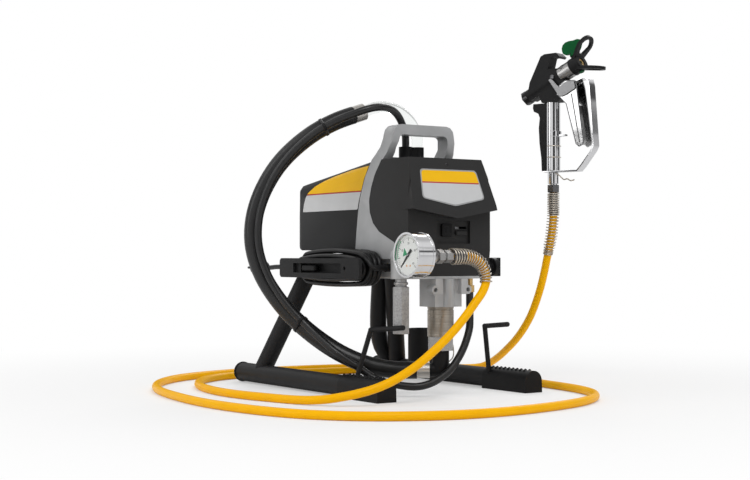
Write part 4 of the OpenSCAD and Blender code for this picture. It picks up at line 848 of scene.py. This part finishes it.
dress("trigger_guard trigger_lock", chrome, 0.4)

# The hose nut below the gun's swivel is dark
HOSE_NUT_TOP = 339.2
swivel = nodes["gun_swivel"].data
swivel.materials.append(dark_steel)
for face in swivel.polygons:
    if (face.center / MM + ORIGIN).z < HOSE_NUT_TOP:
        face.material_index = 1


# ---------- marks on the covers ----------
# Bare bands of colour stand for the printed labels

def bands(name, outline, side, node, rows, **how):
    """Bands of colour between heights, one above the other, cut from one outline."""
    for colour, low, high, material in rows:
        decal(f"{name}_{colour}", clipped(outline, low, high), side, node, material, slot="bright_plate",
              **how)


LABEL = [(-54.7, 354), (54.7, 354), (60.5, 308), (0, 296), (-60.5, 308)]
LABEL_RIM = 2.2
label_outline = rounded(LABEL, 6)
decal("front_label_rim", label_outline, "front", "front_cover", label_rim, slot="bright_plate")
bands("front_label", inset(label_outline, LABEL_RIM), "front", "front_cover",
      [("yellow", 334, 360, label_yellow), ("red", 332, 333.7, label_red),
       ("silver", 290, 331.7, label_silver)], lift=0.45)

# In (y, z): rear low, up the rear, the long upper edge to the front and the gear housing's edge
SIDE_LABEL = [(129, 293.5), (125.5, 307), (114.5, 326), (95, 336.5), (64, 345.5), (33, 352), (-14, 359),
              (-68.5, 364), (-58.8, 330), (-49.3, 293.5)]
side_outline = rounded(SIDE_LABEL, 2.5)
side_rows = [("yellow", 324, 366, label_yellow), ("red", 322, 323.7, label_red)]
bands("left_label", side_outline, "left", "motor_shroud",
      side_rows + [("silver", 290, 321.7, label_silver)], lift=0.7, step=2.5)
bands("right_label", side_outline, "right", "motor_shroud", side_rows, lift=0.7, step=2.5)

COVER_SCREW = (0, -177.9, 362)
lathe("cover_screw", [(0, 2.1), (3.6, 2.1), (4, 1.7), (4, 1.2), (2.2, 1.1)], COVER_SCREW, (0, -1, 0),
      dark_steel, 24, slot="worked_steel")

BUTTON_AT = (-4.5, -189.5, 259)
BUTTON_HALF = 7
BUTTON_CORNER = 2
DROP = arc(2.6, -215, 35, 12, (0, -1)) + [(0, 4.4)]


def on_button(u, v):
    return BUTTON_AT[0] + u, BUTTON_AT[1], BUTTON_AT[2] + v


button_square = rounded([(u * BUTTON_HALF, v * BUTTON_HALF) for u, v in ((-1, -1), (1, -1), (1, 1), (-1, 1))],
                        BUTTON_CORNER)
button_edge = [on_button(*p) for p in button_square + button_square[:1]]
oil_mark = [tube("oil_button_ring", button_edge, 0.9, black_plastic, 6, (0, 1, 0), slot="moulded_black"),
            plate("oil_button_drop", [DROP], on_button, (0, -0.5, 0), black_plastic, slot="moulded_black")]
join("oil_button_mark", oil_mark)

RECESS_LIP = [(14, -184, 251), (36, -184, 251), (36, -184, 258.5), (14, -184, 258.5)]
slab("recess_lip", RECESS_LIP, (0, -5, 0), cover_plastic, 1.6, slot="cover_grey")


# ---------- the gauge's face ----------
DIAL_AT = (-122.95, -253, 220)
DIAL_R = 30.2
DIAL_T = 0.3
PRINT_DEPTH = (-0.12, 0, 0)
SCALE = (-45, 225)
SCALE_PARTS = 8
SMALL_PARTS = 5
TICK_END = 26.6
LONG_TICK = (21.5, 0.9)
SHORT_TICK = (24.3, 0.45)
GREEN_BAND = arc(27.2, -13, 48, 16) + arc(28.7, 48, -13, 16)
GREEN_MARK = [(10.4, 10.6), (14.3, -2.1), (2.6, 0.6)]
DOTS = [arc(1.5, 0, 337.5, 15, (side * 4.4, -15.8)) for side in (-1, 1)]
NUMBER_R = 17.5
NUMBER_SIZE = 5
NUMBER_T = 0.06
NUMBER_PARTS = 2
NUMBER_STEP = 5
NUMBER_RESOLUTION = 2
# Turns a text that lies in the XY plane upright and to face the machine's left
NUMBER_TURN = Matrix(((0, 0, -1), (-1, 0, 0), (0, 1, 0))).to_4x4()


def on_dial(u, v):
    """A place on the dial: u to the machine's rear and v up, from its middle."""
    return DIAL_AT[0] - DIAL_T, DIAL_AT[1] + u, DIAL_AT[2] + v


def tick(a, inner, width):
    """The outline of a line on the dial that points to its middle."""
    way = Vector((math.cos(math.radians(a)), math.sin(math.radians(a))))
    across = Vector((-way.y, way.x)) * width / 2
    return [tuple(way * r + across * side)
            for r, side in ((inner, -1), (TICK_END, -1), (TICK_END, 1), (inner, 1))]


lathe("gauge_dial", [(0, DIAL_R), (DIAL_T, DIAL_R)], DIAL_AT, (-1, 0, 0), dial_white, slot="bright_plate")
ticks = [tick(ramp(SCALE, i / (SCALE_PARTS * SMALL_PARTS)), *(SHORT_TICK if i % SMALL_PARTS else LONG_TICK))
         for i in range(SCALE_PARTS * SMALL_PARTS + 1)]
plate("dial_scale", ticks, on_dial, PRINT_DEPTH, ink_black, slot="needle_black")
plate("dial_green", [GREEN_BAND, GREEN_MARK], on_dial, PRINT_DEPTH, ink_green, slot="key_green")
plate("dial_dots", DOTS, on_dial, PRINT_DEPTH, ink_orange, slot="hose_yellow")


def number(text, u, v):
    """A plain number printed on the dial."""
    curve = bpy.data.curves.new(text, "FONT")
    curve.body = text
    curve.size = NUMBER_SIZE * MM
    curve.extrude = NUMBER_T * MM
    curve.resolution_u = NUMBER_RESOLUTION
    curve.align_x = "CENTER"
    curve.align_y = "CENTER"
    letters = bpy.data.objects.new(text, curve)
    link(letters)
    bpy.context.view_layer.update()
    mesh = bpy.data.meshes.new_from_object(letters.evaluated_get(bpy.context.evaluated_depsgraph_get()))
    bpy.data.objects.remove(letters)
    mesh.transform(Matrix.Translation(at(*on_dial(u, v))) @ NUMBER_TURN)
    mesh.materials.clear()
    mesh.materials.append(ink_black)
    obj = bpy.data.objects.new(f"dial_number_{text}", mesh)
    link(obj)
    return obj


numbers = []
for i in range(0, SCALE_PARTS + 1, NUMBER_PARTS):
    a = math.radians(ramp(SCALE, i / SCALE_PARTS))
    numbers.append(number(str(i * NUMBER_STEP), NUMBER_R * math.cos(a), NUMBER_R * math.sin(a)))
dial_numbers = join("dial_numbers", numbers)
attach(dial_numbers, ROOT)


# ---------- fittings on the stand and the hoses ----------
# Rows of bumps laid on the tops of the feet
FOOT_X = 142
BUMP_LANES = (-5.5, 5.5)
BUMP_R = 2.5
BUMPS = 10
BUMP_FROM = -114
BUMP_STEP = -10.3
BUMP_MERIDIANS = 10
BUMP_RINGS = 6

feet = tree_of("left_foot", "right_foot")
bumps = bmesh.new()
for lane in [side * FOOT_X + offset for side in (-1, 1) for offset in BUMP_LANES]:
    for i in range(BUMPS):
        top = feet.ray_cast(at(lane, BUMP_FROM + BUMP_STEP * i, RAY_FROM), (0, 0, -1))[0]
        bmesh.ops.create_uvsphere(bumps, u_segments=BUMP_MERIDIANS, v_segments=BUMP_RINGS, radius=BUMP_R * MM,
                                  matrix=Matrix.Translation(top))
bump_mesh = bpy.data.meshes.new("foot_bumps")
bumps.to_mesh(bump_mesh)
bumps.free()
bump_mesh.materials.append(black_plastic)
shade(bump_mesh)
foot_bumps = bpy.data.objects.new("foot_bumps", bump_mesh)
link(foot_bumps)
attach(foot_bumps, ROOT)

# In the cord bracket's recess: a moulded rod, the backing behind its rear hole and a screw
BRACKET_ROD = [(-118.4, 4, 193), (-118.4, 47, 193), (-118.4, 47, 205), (-118.4, 4, 205)]
BRACKET_BACKING = [(-126.2, 50, 191), (-126.2, 67.3, 191), (-126.2, 67.3, 207), (-126.2, 50, 207)]
BRACKET_SCREW = (-124.4, -90, 199)
slab("bracket_rod", BRACKET_ROD, (-10.5, 0, 0), black_plastic, 4, slot="moulded_black")
slab("bracket_backing", BRACKET_BACKING, (-1, 0, 0), black_plastic, 0.3, slot="moulded_black")
lathe("bracket_screw", [(0, 2.9), (1.6, 2.9), (2.4, 2.2), (2.4, 1.3), (1.2, 1.2)], BRACKET_SCREW, (-1, 0, 0),
      dark_steel, 24, slot="worked_steel")

TIES = {"hose_tie_low": 205, "hose_tie_high": 590}
TIE_W = 4.5
TIE_T = 1.0
TIE_CORNERS = ((-1, -1), (1, -1), (1, 1), (-1, 1))
TIE_STEPS = (28, 12)


def crossing(route, middle, way):
    """The place nearest to the middle at which a route crosses the plane square to the way."""
    found = []
    for a, b in zip(route, route[1:]):
        before, after = (a - middle).dot(way), (b - middle).dot(way)
        if before * after <= 0 and before != after:
            found.append(a + (b - a) * before / (before - after))
    return min(found, key=lambda p: (p - middle).length)


# Straps round the suction hose and the return hose, square to the suction hose at a distance along it
for tie_name, tie_distance in TIES.items():
    middle, way = along(suction_route, tie_distance)
    other = crossing(return_route, middle, way)
    gap = (other - middle).length
    toward = square_to(other - middle, way)
    up = way.cross(toward)
    big, small = (SUCTION_D + TIE_T) / 2, (RETURN_D + TIE_T) / 2
    lean = math.degrees(math.acos((big - small) / gap))
    loop = [(0, p) for p in arc(big, lean, 360 - lean, TIE_STEPS[0])]
    loop += [(gap, p) for p in arc(small, -lean, lean, TIE_STEPS[1], (gap, 0))]
    tie_points = []
    for centre, (u, v) in loop:
        out = ((u - centre) * toward + v * up).normalized()
        spot = middle + u * toward + v * up
        tie_points += [(spot + out * lift * TIE_T / 2 + way * side * TIE_W / 2 - ORIGIN) * MM
                       for lift, side in TIE_CORNERS]
    piece(tie_name, tie_points, skin(len(TIE_CORNERS), len(tie_points), "loop"), black_plastic,
          slot="moulded_black")

# Wire clip of the inlet elbow, in (out to the front right, up)
ELBOW_CLIP = [(19.3, 79), (20.6, 68), (19, 58.5), (13.2, 52)]
ELBOW_CLIP_WAY = (0.83, -0.56)
elbow_clip_route = smoothed(vectors((ELBOW_CLIP_WAY[0] * r, PUMP_Y + ELBOW_CLIP_WAY[1] * r, z)
                                    for r, z in ELBOW_CLIP))
tube("elbow_clip_wire", elbow_clip_route, 1.8, spring_steel, 10, slot="worked_steel")


# ---------- fittings on the gun ----------
GUN_AT = (263, -132)
GUN_TURN = math.radians(-74)
BARREL_TILT = math.radians(26)
BARREL_Z = 516
TUBE_R = 12


def in_gun(forward, left, up):
    """A place in the gun: forward and left of its handle tube, and up from the floor."""
    return (GUN_AT[0] + forward * math.cos(GUN_TURN) - left * math.sin(GUN_TURN),
            GUN_AT[1] + forward * math.sin(GUN_TURN) + left * math.cos(GUN_TURN), up)


def on_barrel(s, left, h):
    """A place on the barrel: s along its axis, left of it and h square to it."""
    return in_gun(s * math.cos(BARREL_TILT) - h * math.sin(BARREL_TILT), left,
                  BARREL_Z + s * math.sin(BARREL_TILT) + h * math.cos(BARREL_TILT))


barrel_way = Vector(on_barrel(1, 0, 0)) - Vector(on_barrel(0, 0, 0))
lathe("gun_end_cap", [(0, 10.5), (1.2, 13.2), (9.5, 13.2), (10.5, 12.2)], on_barrel(-63.5, 0, 0), barrel_way,
      dark_steel, 6, body="gun", slot="worked_steel")
lathe("gun_end_plug", [(0, 5.5), (0.6, 6), (3, 6)], on_barrel(-65, 0, 0), barrel_way, brass, 24,
      body="gun", slot="bright_plate")
lathe("tip_seat", [(0, 6.8), (0, 3.4), (1.4, 3.4), (1.6, 4.4), (1.6, 6.8), (0, 6.8)], on_barrel(60.7, 0, 0),
      barrel_way, brass, 32, body="guard", slot="bright_plate")

NUT_TURN = math.radians(50)
NUT_AT = 30
NUT_HOLE_R = 12.8
nut_way = Vector(on_barrel(0, -math.sin(NUT_TURN), math.cos(NUT_TURN))) - Vector(on_barrel(0, 0, 0))
nut_hole_at = Vector(on_barrel(NUT_AT, 0, 0)) + nut_way * NUT_HOLE_R
lathe("nut_spanner_hole", [(0, 4.6), (1.3, 4.6), (1.3, 3.4), (0.6, 3.2)], nut_hole_at, nut_way, dark_steel,
      24, body="gun", slot="worked_steel")

WIRE_RINGS = {"tube_wire_low": 386, "tube_wire_high": 405}
WIRE_RING_R = TUBE_R + 0.6
WIRE_RING_TURN = 112
for ring_name, ring_z in WIRE_RINGS.items():
    ring = [in_gun(u, v, ring_z) for u, v in arc(WIRE_RING_R, -WIRE_RING_TURN, WIRE_RING_TURN, 24)]
    tube(ring_name, ring, 1.5, spring_steel, 8, body="gun", slot="worked_steel")

# Wire clip below the trigger guard, in (forward, up)
CLIP = [(8, 359), (16, 354), (24, 347.5), (31, 348.5), (38, 345), (45, 346.5)]
CLIP_LEFT = -5
clip_route = smoothed(vectors(in_gun(f, CLIP_LEFT, u) for f, u in CLIP))
tube("guard_clip_wire", clip_route, 2.2, spring_steel, 10, body="gun", slot="worked_steel")

# Painted dark reflections: thin dark steel lines along the trigger's cheek outline and its fold stand for the
# dark edges its chrome shows, in (forward, up)
CHEEK_LEFT = -14.4
CHEEK_REFLECTION_LINE = [(16, 491), (20, 505), (32, 513), (52, 512), (55, 501), (68, 412), (67, 404), (60, 401),
              (54, 406), (35, 474), (22, 486)]
FOLD_REFLECTION_LINE = [(45, 490), (61, 408)]
edges = [tube("trigger_painted_reflection", vectors(in_gun(f, CHEEK_LEFT, u) for f, u in line), 1.3, dark_steel, 8,
              body="trigger", slot="worked_steel") for line in (CHEEK_REFLECTION_LINE + CHEEK_REFLECTION_LINE[:1], FOLD_REFLECTION_LINE)]
join("trigger_painted_reflections", edges)

# The trigger's saddle and its arm across the body, in (forward, up), and the screw beside the arm
SADDLE = [(0.5, 516), (4, 518.5), (9.3, 515.6), (16, 508.5), (22, 503), (30, 509), (39, 511.8), (51, 511),
          (54.2, 501), (52, 497), (45, 494), (36, 489), (27, 486.5), (22.2, 486.8), (17.3, 493)]
SADDLE_LEFT = -14.2
SADDLE_T = 2.2
BODY_SCREW = (5.9, -13, 521)
outward = Vector(in_gun(0, -1, 0)) - Vector(in_gun(0, 0, 0))
slab("trigger_saddle", [in_gun(f, SADDLE_LEFT, u) for f, u in SADDLE], outward * SADDLE_T, satin_steel, 0.7,
     body="trigger", slot="worked_steel")
lathe("body_screw", [(0, 4.2), (0.7, 4.2), (1.0, 3.6), (1.0, 2.0), (0.4, 1.8)], in_gun(*BODY_SCREW), outward,
      dark_steel, 24, body="gun", slot="worked_steel")
